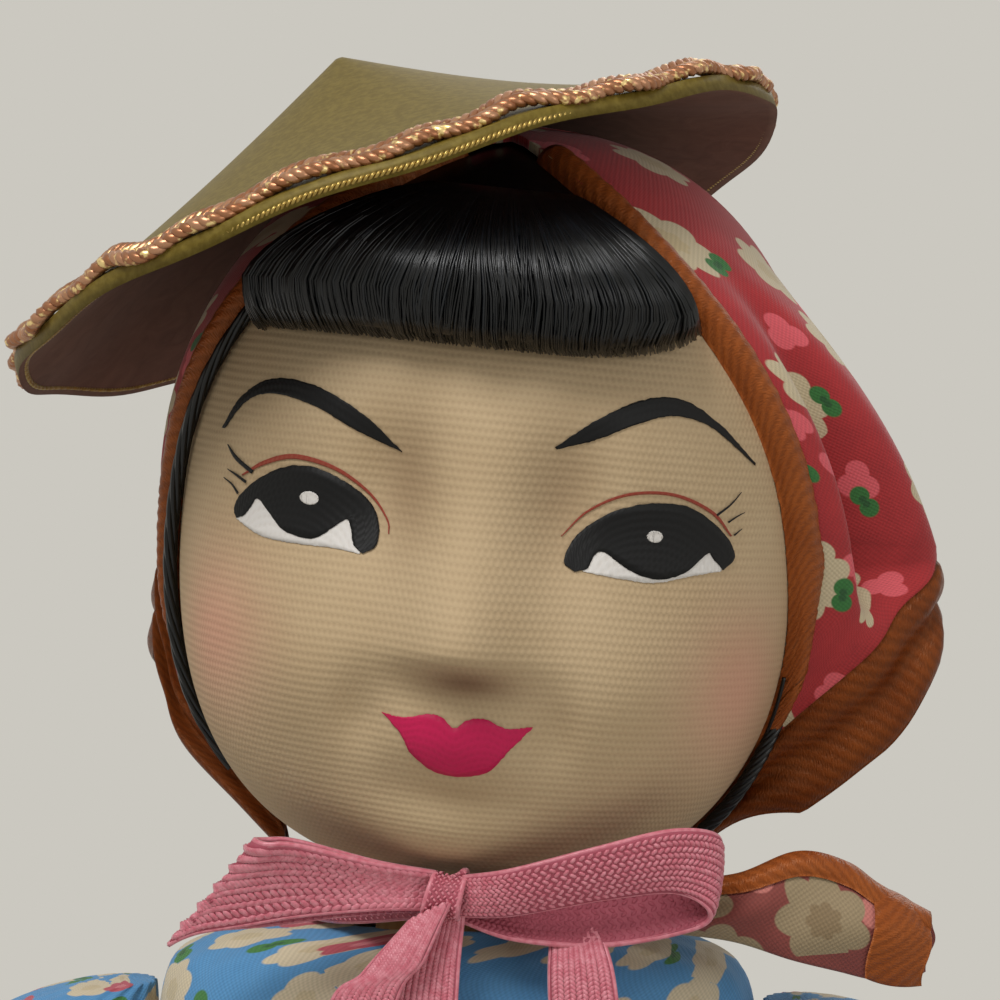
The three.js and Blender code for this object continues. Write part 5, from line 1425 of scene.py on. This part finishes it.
BOW_TAILS = {
    "left": [(8.6, -10.6, 142), (9.2, -12.3, 139), (9.6, -12.4, 133), (9.8, -12.4, 121)],
    "middle": [(1.4, -12.6, 142.6), (0.6, -13.2, 139), (0.4, -13.4, 134), (0.8, -13.3, 121)],
    "right": [(1, -14, 142.9), (-0.9, -14.5, 140), (-3, -14.4, 136.5), (-4.6, -14, 121)],
}
for name, points in BOW_TAILS.items():
    slope = [(1, 0, 0.5), (1, 0, 0.3), (1, 0, 0.1), (1, 0, 0)] if name == "right" else [(1, 0, 0)] * 4
    tail = ribbon_length("bow tail " + name, points, slope, [2.4, 3.5, 3.7, 3.7], 0.1)
    piece("bow_tail_" + name + "_ribbon", tail, None, "figure", "pink_rayon", "bow_tail_" + name)

around = np.linspace(0, math.tau, 65)
# In front, the band is drawn forward and up into the knot.
drawn = bell(np.angle(np.exp(1j * around)), 0.5)
NECK_RING = 8.9
ring = oval(around - math.pi / 2, NECK_RING, NECK_RING, BLOUSE_TOP + 1.15)
ring += np.stack([1.5 * drawn, -3.4 * drawn, 1.4 * drawn], -1)
collar = ribbon_length("neck ribbon", ring, [UPRIGHT, UPRIGHT], [1.9, 1.9], 0.3)
piece("neck_ribbon_band", collar, None, "figure", "pink_rayon", "neck_ribbon")

wrap = np.linspace(-0.3, math.tau - 0.3, 17)
knot = np.stack([1.7 + 0.3 * np.cos(wrap), -12.9 + 1.1 * np.sin(wrap), 143.6 + 1.25 * np.cos(wrap)], -1)
knot_mesh = ribbon_length("bow knot", knot, [(1, 0, 0.3), (1, 0, -0.1)], [1.6, 2.0, 1.7], 0.25)
piece("bow_knot_wrap", knot_mesh, None, "figure", "pink_rayon", "bow_knot")
print("bow of", len(BOW_LOOPS), "loops,", len(BOW_TAILS), "tails, a neck band and a knot")

# %% [markdown]
# ## Blouse and sleeves
#
# The blouse is blue printed cotton, cut straight, with set-in sleeves that end above the elbow. Its body
# stays with the figure and each sleeve swings with its arm, so they are three sheets. Rows of rings give
# the shape, soft folds are added above the hems, and a line of running stitches is set along every hem by
# the stitch tree.

# %% Blue print
# Blue printed cotton: the same cloth, with green leaves, cream blossoms and a few rose ones.
blue_print = printed_cotton("printed blue cotton", "#5A98C8", "#4885B6", [
    (5.2, 2, 0.75, 0.5, 0.6, "#3F7A3A", "#2C5E30"),
    (5.4, 6, 1.95, 0.1, 0.94, "#CFC0A2", "#C6B592"),
    (7.4, 5, 1.2, 0.12, 0.5, "#B8525E", "#CF7A80"),
])
SHOULDER_HEIGHT = 128.0
ARM_OFFSET = 24.6
SLEEVE_RADIUS = 6.3
SLEEVE_LENGTH = 24.0
BLOUSE_HEM = 73.0
BLOUSE_HALF_WIDTH = 18.0
BLOUSE_HALF_DEPTH = 12.0

# Cotton thread: pale blue sewing thread, matte, lying in short stitches.
blue_thread = flecked("pale blue cotton thread", "#8FAECB", "#C6D8E6", 3.0, 0.8)


def hem_stitches(name, ring, above, pitch, material):
    """Running stitches along a closed ring of points, lying on the cloth between it and the ring above."""
    loop = np.vstack([ring, ring[:1]])
    upper = np.vstack([above, above[:1]])
    run = run_lengths(loop)
    count = int(run[-1] / pitch)
    places = (np.arange(count) + 0.5) * run[-1] / count
    spots = np.stack([np.interp(places, run, loop[:, k]) for k in range(3)], -1)
    high = np.stack([np.interp(places, run, upper[:, k]) for k in range(3)], -1)
    ways = unit(np.roll(spots, -1, axis=0) - np.roll(spots, 1, axis=0))
    outs = unit(np.cross(ways, high - spots))
    return stitches(name, spots + outs * 0.03, ways, outs, 0.34 * pitch, 0.13, 0.1, material)


print("blouse finishes:", blue_print.name, "and", blue_thread.name)

# %% Blouse body
BLOUSE_SIDES = 120
turns = full_turn(BLOUSE_SIDES)
stations = [
    (73, 1, 1.2), (82, 0.98, 1.14), (91, 0.92, 1.06), (103, 0.89, 1.02), (115, 0.94, 1.04), (124, 1, 1.02),
    (131, 1, 0.93), (137.2, 0.96, 0.84), (139.3, 0.8, 0.78), (140.3, 0.58, 0.72), (140.8, 0.433, 0.65),
]
blouse_rows = []
for height, width, depth in smooth_line(stations, 90):
    hang = 1 - smoothstep(BLOUSE_HEM, BLOUSE_HEM + 34, height)
    fold = hang * (0.5 * np.cos(7 * turns + 0.4) + 0.2 * np.cos(13 * turns + 0.07 * height))
    gather = 0.12 * smoothstep(134, 140, height) * np.cos(26 * turns)
    half_width = BLOUSE_HALF_WIDTH * width + gather
    blouse_rows.append(oval(turns, half_width, BLOUSE_HALF_DEPTH * depth + fold + gather, height))
blouse_rows = np.array(blouse_rows)
blouse_sheet = thickened(sheet_mesh("blouse", blouse_rows, closed=True), 0.6)
blouse = piece("blouse", blouse_sheet, blue_print, "figure", "blue_print_cotton", "blouse_body")
hem_line = hem_stitches("blouse hem stitches", blouse_rows[3], blouse_rows[5], 1.1, blue_thread)
blouse_hem = piece("blouse_hem_stitches", hem_line, blue_thread, "figure", "blue_print_cotton")
# The body is one piece of cloth, 103 mm round and 75 mm long, narrowed to the neck.
print("blouse", len(blouse_sheet.polygons), "faces")

# %% Sleeves
SLEEVE_SIDES = 96
turns = full_turn(SLEEVE_SIDES)
stations = [
    (-24, 1.08, 1.18), (-14.4, 1.01, 1.08), (-3, 1, 1.06), (2.22, 0.99, 1.04), (4.9, 0.9, 0.96),
    (6.7, 0.7, 0.8), (7.9, 0.42, 0.5), (8.4, 0.08, 0.1),
]
inside = ARM_OFFSET - SLEEVE_RADIUS
for name, sign in SIDES:
    rows = []
    for height, width, depth in smooth_line(stations, 60):
        hang = max(0, -height / SLEEVE_LENGTH)
        fold = 0.35 * hang * np.cos(5 * turns + 0.6) + 0.15 * hang * np.sin(9 * turns + 0.3 * height)
        half = SLEEVE_RADIUS * width
        centre = inside + max(half, SLEEVE_RADIUS * 0.3) + 0.5 * hang
        gather = 0.1 * smoothstep(2, 6, height) * np.cos(18 * turns)
        ring = oval(turns, half + gather, SLEEVE_RADIUS * depth + fold + gather, SHOULDER_HEIGHT + height)
        rows.append((ring + (centre, 0, 0)) * (sign, sign, 1))
    rows = np.array(rows)
    sheet = thickened(sheet_mesh(name + " sleeve", rows, closed=True, caps="last"), 0.6)
    sleeve = piece(name + "_sleeve_cloth", sheet, blue_print, name + "_arm", "blue_print_cotton",
                   name + "_sleeve")
    seam = hem_stitches(name + " cuff stitches", rows[3], rows[5], 1.1, blue_thread)
    cuff = piece(name + "_cuff_stitches", seam, blue_thread, name + "_arm", "blue_print_cotton")
print("two sleeves with stitched cuffs")

# %% [markdown]
# ## The scarf's loose end
#
# One end of the scarf comes out under the ribbon and lies crumpled over the doll's left shoulder. It is
# the same printed cotton, folded once, with a satin binding along its rim and a wide satin band across
# its end. The fold is drawn as one sheet that runs up the front, over the rim and down behind, and the
# bindings follow that sheet.

# %% Loose end
# Each station: how far out it is, its middle, its upper rim and its lower edge, in millimetres.
TAIL_STATIONS = [
    (9.4, -4.6, 142.6, 140.9), (13.4, -5.8, 143.3, 140.8), (17.3, -6.4, 143.9, 140.5),
    (20.6, -6.1, 145.2, 139.5), (23.2, -5.4, 144.6, 138.8), (25, -4.8, 143.3, 138.3),
    (27.8, -3.6, 141.6, 137.8),
]
TAIL_BAND = 3.2
tail_x, tail_y, tail_high, tail_low = smooth_line(TAIL_STATIONS, 90).T


def tail_section(around, grow=0.0):
    """The folded cloth across: 0 is the front's lower edge, 0.5 the rim and 1 the lower edge behind."""
    behind = smoothstep(0.46, 0.56, around)
    down = np.abs(2 * around - 1)
    height = between(tail_high, tail_low + 0.5 * behind, down) + grow * np.where(down < 0.1, 1, 0.2)
    belly = 0.9 * np.sin(math.pi * down) * (1 - behind) + 0.5 * np.sin(math.pi * down) * behind
    crease = 0.3 * np.sin(0.9 * tail_x + 4 * down) * np.sin(math.pi * np.minimum(1, down + 0.1))
    front = tail_y - 0.5 - belly + crease - grow
    back = tail_y + 0.7 + belly + 0.5 * crease + grow
    return np.stack([tail_x + 0.3 * np.sin(5 * down), between(front, back, behind), height], -1)


# Wrong side of the print: the dye has only half come through, so its red is dull; it is also painted
# darker as shade from the scarf above, which makes its blossoms tan.
shaded_print_back = printed_cotton("shaded wrong side of printed cotton", "#8C443B", "#702C26", [
    (6.2, 3, 1.3, 0.25, 0.7, "#BE7268", "#BE7268"),
    (6.4, 7, 2.5, 0.14, 0.95, "#958263", "#846F50"),
])
tail_rows = np.array([tail_section(around) for around in np.linspace(0, 1, 60)])
tail_sheet = thickened(sheet_mesh("scarf end", tail_rows), 0.45)
tail = piece("scarf_end", tail_sheet, shaded_print_back, "figure", "red_print_cotton", "scarf_tail")
rim_rows = np.array([tail_section(around, 0.15) for around in np.linspace(0.42, 0.56, 12)])
rim = padded_strip("scarf end rim", np.moveaxis(rim_rows, 0, 1)[:, ::-1], 0.25)
tail_rim = piece("scarf_end_rim", rim, copper_satin, "figure", "copper_satin")
last = tail_x > tail_x[-1] - TAIL_BAND
end_rows = np.array([tail_section(around, 0.2)[last] for around in np.linspace(0, 1, 60)])
end_band = padded_strip("scarf end band", end_rows, 0.3)
tail_band = piece("scarf_end_band", end_band, copper_satin, "figure", "copper_satin")
# The end of the scarf is a strip 20.5 mm long and 12.8 mm wide, folded once along its length.
print("loose end", round(float(tail_x[-1] - tail_x[0]), 1), "mm long")

# %% [markdown]
# ## Trousers, slippers and wood
#
# Below the blouse the doll wears plain navy trousers and soft black slippers, and the limbs and base are
# turned wood. The trouser legs are sheets with creases. The turned pieces are swept round again from the
# same profiles with many more sides than the CAD solids have, so that they look turned and not cut in
# flats.

# %% Trousers
TWILL_STEP = 0.5
# Navy cotton twill: matte, with a fine slanted rib, and faded a little in patches.
navy_cotton, tree, shader = finish_named("navy cotton twill", "#26324E", 0.85, Sheen_Weight=0.2)
chart = add(tree, "TexCoord").outputs["UV"]
parts = add(tree, "SeparateXYZ", [chart])
slope = add(tree, "Math", [parts.outputs["X"], parts.outputs["Y"]], operation="ADD")
turn = add(tree, "Math", [slope, math.tau / TWILL_STEP], operation="MULTIPLY")
twill = add(tree, "Math", [turn], operation="SINE")
faded = add(tree, "TexNoise", {"Vector": chart, "Scale": 0.15, "Detail": 4.0})
tone = add(tree, "Mix", {0: faded, 6: "#1F2942", 7: "#34425F"}, data_type="RGBA")
# Painted shade: the low side of each twill rib is darkened.
twill_shade = add(tree, "MapRange", [twill, -1.0, 1.0, 0.35, 0.0])
mixed = add(tree, "Mix", {0: twill_shade, 6: tone, 7: "#121A2C"}, data_type="RGBA")
bump = add(tree, "Bump", {"Height": twill, "Strength": 0.3, "Distance": 0.1 * MM})
join(tree, shader, {"Base Color": mixed, "Normal": bump})
LEG_SPREAD = 8.2
TROUSER_RADIUS = 7.6
CUFF_HEIGHT = 23.6
HIP_HEIGHT = 82.0
TROUSER_SIDES = 84
turns = full_turn(TROUSER_SIDES)
stations = [(0, 0.97), (0.1, 0.93), (0.32, 0.9), (0.56, 0.93), (0.76, 0.98), (1, 0.99)]
for name, sign in SIDES:
    rows = []
    for up, share in smooth_line(stations, 70):
        height = between(CUFF_HEIGHT, HIP_HEIGHT - 0.8, up)
        slack = 1 - height / HIP_HEIGHT
        crease = 0.35 * np.cos(3 * turns + height * 0.12) * slack
        crumple = 0.16 * slack * np.sin(0.9 * height + 2 * np.cos(turns)) * np.cos(2 * turns + 1)
        pressed = 0.22 * bell(np.angle(np.exp(1j * (turns + math.pi / 2))), 0.12)
        radius = TROUSER_RADIUS * share + crease + crumple + pressed
        rows.append(oval(turns, radius, radius, height) + (sign * LEG_SPREAD, 0, 0))
    rows = np.array(rows)
    sheet = thickened(sheet_mesh(name + " trouser", rows, closed=True), 0.6)
    trouser = piece(name + "_trouser", sheet, navy_cotton, "figure", "navy_cotton", name + "_trouser_leg")
    seam = hem_stitches(name + " trouser stitches", rows[4], rows[6], 1.2, blue_thread)
    cuff = piece(name + "_trouser_stitches", seam, blue_thread, "figure", "navy_cotton")
print("two trouser legs")

# %% [markdown]
# ### Turned wood
#
# The base, the legs and the arms are turned birch, and the base is stained. A lathe piece is a profile of
# a few points swept round. Real turnings have every edge broken with paper, so each corner of the profile
# is eased into a small curve first. That also lets smooth shading run over the edge without dark smears.


# %% Wood and steel
def grained_wood(name, light, dark, roughness, lie, coat):
    """Fine straight-grained wood: growth bands and dark pores, drawn out the way that the grain lies."""
    material, tree, shader = finish_named(name, light, roughness, Coat_Weight=coat, Coat_Roughness=0.25)
    place = add(tree, "TexCoord").outputs["Object"]
    grain = add(tree, "Mapping", {"Vector": place, "Scale": [share / MM for share in lie]})
    bands = add(tree, "TexNoise", {
        "Vector": grain, "Scale": 0.55, "Detail": 5.0, "Distortion": 0.8,
    })
    pores = add(tree, "TexNoise", {"Vector": grain, "Scale": 2.6, "Detail": 3.0})
    band = add(tree, "MapRange", [bands, 0.36, 0.64, 0.0, 1.0])
    tone = add(tree, "Mix", {0: band, 6: light, 7: dark}, data_type="RGBA")
    pore = add(tree, "MapRange", [pores, 0.56, 0.72, 0.0, 0.55])
    mixed = add(tree, "Mix", {0: pore, 6: tone, 7: dark}, data_type="RGBA")
    rough = add(tree, "MapRange", [pores, 0.3, 0.8, roughness - 0.06, roughness + 0.14])
    join(tree, shader, {"Roughness": rough})
    bump = add(tree, "Bump", {"Height": pores, "Strength": 0.16, "Distance": 0.08 * MM})
    join(tree, shader, {"Base Color": mixed, "Normal": bump})
    return material


# Birch: pale, close-grained and only oiled, so it is satin. Its grain runs up the limb.
birch = grained_wood("oiled birch", "#CFA674", "#B58552", 0.46, (1, 1, 0.07), 0.0)
# Stained birch: the same wood, lying across the base, stained brown and varnished so that it shines.
stained_birch = grained_wood("walnut-stained birch", "#68402A", "#42240F", 0.38, (0.06, 1, 1), 0.35)

# Steel pins: drawn wire, fairly bright, with fine lines along it.
steel_wire, tree, shader = finish_named("drawn steel wire", "#A8A8A6", 0.3, Metallic=1.0)
place = add(tree, "TexCoord").outputs["Object"]
drawn = add(tree, "Mapping", {"Vector": place, "Scale": (0.2 / MM, 6 / MM, 6 / MM)})
lines = add(tree, "TexNoise", {"Vector": drawn, "Scale": 1.0, "Detail": 2.0})
rough = add(tree, "MapRange", [lines, 0.3, 0.7, 0.22, 0.42])
join(tree, shader, {"Roughness": rough})
print("wood and steel finishes made")


# %% Turned pieces
def eased(profile, ease):
    """A profile with each inner corner rounded off by a curve that starts some millimetres before it."""
    profile = np.asarray(profile, float)
    points = [profile[0]]
    for before, corner, after in zip(profile, profile[1:], profile[2:]):
        back = corner - before
        ahead = after - corner
        near = min(ease, 0.45 * np.linalg.norm(back))
        far = min(ease, 0.45 * np.linalg.norm(ahead))
        start = corner - unit(back) * near
        end = corner + unit(ahead) * far
        for part in np.linspace(0, 1, 6):
            points.append(between(between(start, corner, part), between(corner, end, part), part))
    points.append(profile[-1])
    return np.array(points)


def turned(name, profile, centre, sides=72, ease=0.4):
    """A solid of revolution about a vertical line; the profile runs from the bottom up, in millimetres."""
    angles = full_turn(sides)
    rows = []
    for radius, height in eased(profile, ease):
        rows.append(oval(angles, radius, radius, height) + centre)
    return sheet_mesh(name, rows, closed=True, caps="both")


BASE_RADIUS = 34.0
BASE_HEIGHT = 9.0
base_profile = [
    (2.0, 0.0), (BASE_RADIUS - 1, 0.0), (BASE_RADIUS, 1.0), (BASE_RADIUS, 3.6), (BASE_RADIUS - 1.6, 4.5),
    (BASE_RADIUS - 2.2, 5.6), (BASE_RADIUS - 2.6, 7.7), (BASE_RADIUS - 4, BASE_HEIGHT), (2.0, BASE_HEIGHT),
]
base = turned("turned base", base_profile, (0, 0, 0), 180, 0.6)
piece("turned_base", base, stained_birch, "figure", "stained_wood", "base")

FOOT_TOP = 15.5
calf = between(FOOT_TOP, HIP_HEIGHT, 0.4)
knee = between(FOOT_TOP, HIP_HEIGHT, 0.57)
leg_profile = [
    (0.4, 3.5), (1.7, 3.5), (1.7, FOOT_TOP + 0.3), (2.7, FOOT_TOP + 0.3), (2.7, FOOT_TOP + 4),
    (3.87, between(FOOT_TOP, calf, 0.6)), (4.3, calf), (3.6, knee - 3), (4.1, knee), (3.9, knee + 3),
    (5.5, between(knee, HIP_HEIGHT, 0.5)), (6.3, HIP_HEIGHT - 6), (6.3, HIP_HEIGHT - 1.3),
    (5.3, HIP_HEIGHT - 0.3), (2.6, HIP_HEIGHT - 0.3), (2.6, HIP_HEIGHT + 8), (0.4, HIP_HEIGHT + 8),
]
for name, sign in SIDES:
    leg = turned(name + " turned leg", leg_profile, (sign * LEG_SPREAD, 0, 0), 48, 0.8)
    piece(name + "_turned_leg", leg, birch, "figure", "birch_wood", name + "_leg")
KEPT_SOLIDS = dict.fromkeys(("torso", "neck_peg", "head_core", "left_axle_cap", "right_axle_cap"), birch)
KEPT_SOLIDS["shoulder_axle"] = steel_wire
for name, finish in KEPT_SOLIDS.items():
    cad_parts[name].data.materials.clear()
    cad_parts[name].data.materials.append(finish)
print("base", len(base.polygons), "faces, and two legs")

# %% [markdown]
# ### Arms with tongue-and-fork elbows
#
# Each elbow is a flat tongue on the forearm between two cheeks on the upper arm, with a steel pin through
# all three. The cheeks and the tongue are slabs with one round end, and the limb and the mitten hand are
# lofted from ovals, because a hand isn't round. The forearm is a piece of its own, as it turns on the
# pin.


# %% Arms and hands
def slab(name, outline, inner, outer, centre):
    """A flat piece between two planes across X, with its edges eased; the outline is in Y and Z."""
    outline = np.asarray(outline, float)
    middle = outline.mean(axis=0)
    edge = 0.35
    reach = np.linalg.norm(outline - middle, axis=1, keepdims=True)
    places = (inner, inner, inner + edge, outer - edge, outer, outer)
    rows = []
    for place, inset in zip(places, (0.8, edge, 0, 0, edge, 0.8)):
        shrunk = middle + (outline - middle) * (1 - inset / reach)
        rows.append(np.column_stack([np.full(len(shrunk), place), shrunk]) + centre)
    return sheet_mesh(name, rows, closed=True, caps="both")


def lofted(name, stations, centre, sides=48):
    """Ovals along Z, each given as height, half width, half depth and how far forward it sits."""
    angles = full_turn(sides)
    rows = []
    for height, half_x, half_y, forward in smooth_line(stations, 60):
        rows.append(oval(angles, half_x, half_y, height) - (0, forward, 0) + centre)
    falling = stations[0][0] > stations[-1][0]
    return sheet_mesh(name, rows, closed=True, caps="both", flip=falling)


ELBOW_HEIGHT = 98.0
KNUCKLE_RADIUS = 3.4
KNUCKLE_HALF = 3.1
SLOT_HALF = 1.5
TONGUE_HALF = 1.2
TONGUE_RADIUS = 3.1
PIN_RADIUS = 0.9
lower_half = np.linspace(math.pi, math.tau, 25)
upper_half = np.linspace(0, math.pi, 25)
cheek = [(KNUCKLE_RADIUS * math.cos(a), KNUCKLE_RADIUS * math.sin(a)) for a in lower_half]
cheek += [(2.9, 3.2), (2.2, 5.2), (-2.2, 5.2), (-2.9, 3.2)]
tongue = [(TONGUE_RADIUS * math.cos(a), TONGUE_RADIUS * math.sin(a)) for a in upper_half]
tongue += [(-2.3, -5.0), (2.3, -5.0)]
hand = [
    (-4.0, 1.6, 1.7, 0), (-4.5, 2.6, 2.6, 0), (-6, 2.85, 2.85, 0), (-9, 2.9, 2.9, 0), (-16.5, 2.3, 2.3, 0),
    (-21.4, 2.05, 2.1, 0), (-23.4, 1.8, 2.6, 0), (-26.4, 1.7, 3.05, 0), (-30, 1.45, 2.75, 0),
    (-32.2, 1.05, 1.9, 0), (-33, 0.4, 0.8, 0),
]
thumb = [
    (-23, 0.9, 0.9, 0.5), (-25.6, 1.1, 1.1, 2.5), (-28, 1.0, 1.0, 3.7), (-29.2, 0.6, 0.6, 4.05),
    (-29.6, 0.2, 0.2, 4.1),
]
upper = [
    (-26.2, 3.0, 3.0, 0), (-24, 2.97, 2.97, 0), (-15, 3.3, 3.3, 0), (-6, 2.7, 2.7, 0), (-2, 2.2, 2.2, 0),
]
boss = [
    (0, -4.2), (1.6, -3.9), (3.0, -2.9), (3.9, -1.6), (4.2, 0), (3.9, 1.6), (3.0, 2.9), (1.6, 3.9),
    (0, 4.2),
]
boss += [(-y, z) for y, z in boss[-2:0:-1]]
pin_profile = [
    (0.2, -3.35), (0.75, -3.3), (PIN_RADIUS, -3.05), (PIN_RADIUS, 3.05), (0.75, 3.3), (0.2, 3.35),
]
for name, sign in SIDES:
    elbow = np.array([sign * ARM_OFFSET, 0, ELBOW_HEIGHT])
    shoulder = np.array([sign * ARM_OFFSET, 0, SHOULDER_HEIGHT])
    parts = [
        lofted(name + " upper arm", upper, shoulder),
        slab(name + " inner cheek", cheek, -KNUCKLE_HALF, -SLOT_HALF, elbow),
        slab(name + " outer cheek", cheek, SLOT_HALF, KNUCKLE_HALF, elbow),
        slab(name + " shoulder boss", boss, -2.3, 2.3, shoulder),
    ]
    arm = joined(name + " upper arm", parts)
    piece(name + "_upper_arm_wood", arm, birch, name + "_arm", "birch_wood", name + "_upper_arm")
    parts = [
        lofted(name + " forearm", hand, elbow),
        lofted(name + " thumb", thumb, elbow, 24),
        slab(name + " tongue", tongue, -TONGUE_HALF, TONGUE_HALF, elbow),
    ]
    forearm = joined(name + " forearm", parts)
    piece(name + "_forearm_wood", forearm, birch, name + "_lower_arm", "birch_wood", name + "_forearm")
    pin = turned(name + " elbow pin", pin_profile, (0, 0, 0), 32, 0.1)
    for vertex in pin.vertices:
        x, y, z = vertex.co
        vertex.co = (z + elbow[0] * MM, y, elbow[2] * MM - x)
    piece(name + "_elbow_pin_steel", pin, steel_wire, name + "_arm", "steel_wire", name + "_elbow_pin")
print("two arms with pinned elbows")

# %% [markdown]
# ### Slippers
#
# The slippers are soft black cloth over a flat sole. The foot opening is bound with a rolled edge, and a
# welt runs along each side where the sole is sewn on. Both are single strands that follow the upper.

# %% Black cloth slippers
# Black cotton drill: matte, with a faint weave and a little lint.
black_cloth, tree, shader = finish_named("black cotton drill", "#1B1B1F", 0.85, Sheen_Weight=0.25)
chart = add(tree, "TexCoord").outputs["UV"]
rib = plain_weave(tree, chart, spacing=0.45)
lint = add(tree, "TexNoise", {"Vector": chart, "Scale": 1.2, "Detail": 4.0})
# Painted shade and light: the weave's low threads take the darker colour and its raised ones the lighter.
tone = add(tree, "Mix", {0: rib, 6: "#121215", 7: "#2A2A2F"}, data_type="RGBA")
speck = add(tree, "MapRange", [lint, 0.6, 0.75, 0.0, 0.25])
mixed = add(tree, "Mix", {0: speck, 6: tone, 7: "#4A4A50"}, data_type="RGBA")
bump = add(tree, "Bump", {"Height": rib, "Strength": 0.3, "Distance": 0.1 * MM})
join(tree, shader, {"Base Color": mixed, "Normal": bump})

SOLE_HEIGHT = 9.3
SLIPPER_HEEL = 6.8
SLIPPER_LENGTH = 20.0
SLIPPER_HALF_WIDTH = 4.2
SLIPPER_HEIGHT = 6.2
SLIPPER_OPENING = 3.1
# Where the section has its two welts, counted in its points.
WELT_PLACES = (13, 48)
WELT_HEIGHT = SOLE_HEIGHT + 0.9
slipper_stations = [
    (0, 0.42, 0.5), (0.03, 0.66, 0.7), (0.1, 0.86, 0.9), (0.3, 0.93, 1), (0.5, 0.95, 0.82), (0.72, 1, 0.6),
    (0.88, 0.86, 0.5), (0.95, 0.62, 0.42), (0.985, 0.35, 0.32),
]
slipper_section = np.array([
    (-0.8, 0), (0, 0), (0.8, 0), (0.98, 0.1), (1, 0.25), (0.86, 0.62), (0.5, 0.93), (0, 1), (-0.5, 0.93),
    (-0.86, 0.62), (-1, 0.25), (-0.98, 0.1),
])
round_section = smooth_line(np.vstack([slipper_section, slipper_section[:1]]), 61)[:-1]
for name, sign in SIDES:
    centre = np.array([sign * LEG_SPREAD, 0, SOLE_HEIGHT])
    rows = []
    for along, width, height in smooth_line(slipper_stations, 60):
        y = SLIPPER_HEEL - SLIPPER_LENGTH * along
        side, rise = round_section.T
        dent = 0.08 * np.sin(1.3 * y) * np.maximum(0, rise) ** 2
        top = SLIPPER_HEIGHT * height * np.maximum(0, rise) + dent
        rows.append(np.stack([SLIPPER_HALF_WIDTH * width * side, np.full(len(side), y), top], -1))
    rows = np.array(rows) + centre
    upper_cloth = sheet_mesh(name + " slipper", rows, closed=True, caps="both")
    collar_turn = np.linspace(0, math.tau, 60)
    collar = oval(collar_turn, SLIPPER_OPENING, SLIPPER_OPENING, 6.3 + 0.1 * np.sin(collar_turn))
    collar = collar + centre + (0, 0.2, 0)
    edge = strands(name + " slipper edge", [collar], [0.42], black_cloth, 10)
    welts = [rows[6:-4, place] * (1, 1, 0) + (0, 0, WELT_HEIGHT) for place in WELT_PLACES]
    welt_lines = strands(name + " slipper welt", welts, [0.22, 0.22], black_cloth, 8)
    shoe = joined(name + " slipper", [upper_cloth, edge, welt_lines])
    piece(name + "_slipper_cloth", shoe, black_cloth, "figure", "black_cloth", name + "_slipper")
print("two slippers")
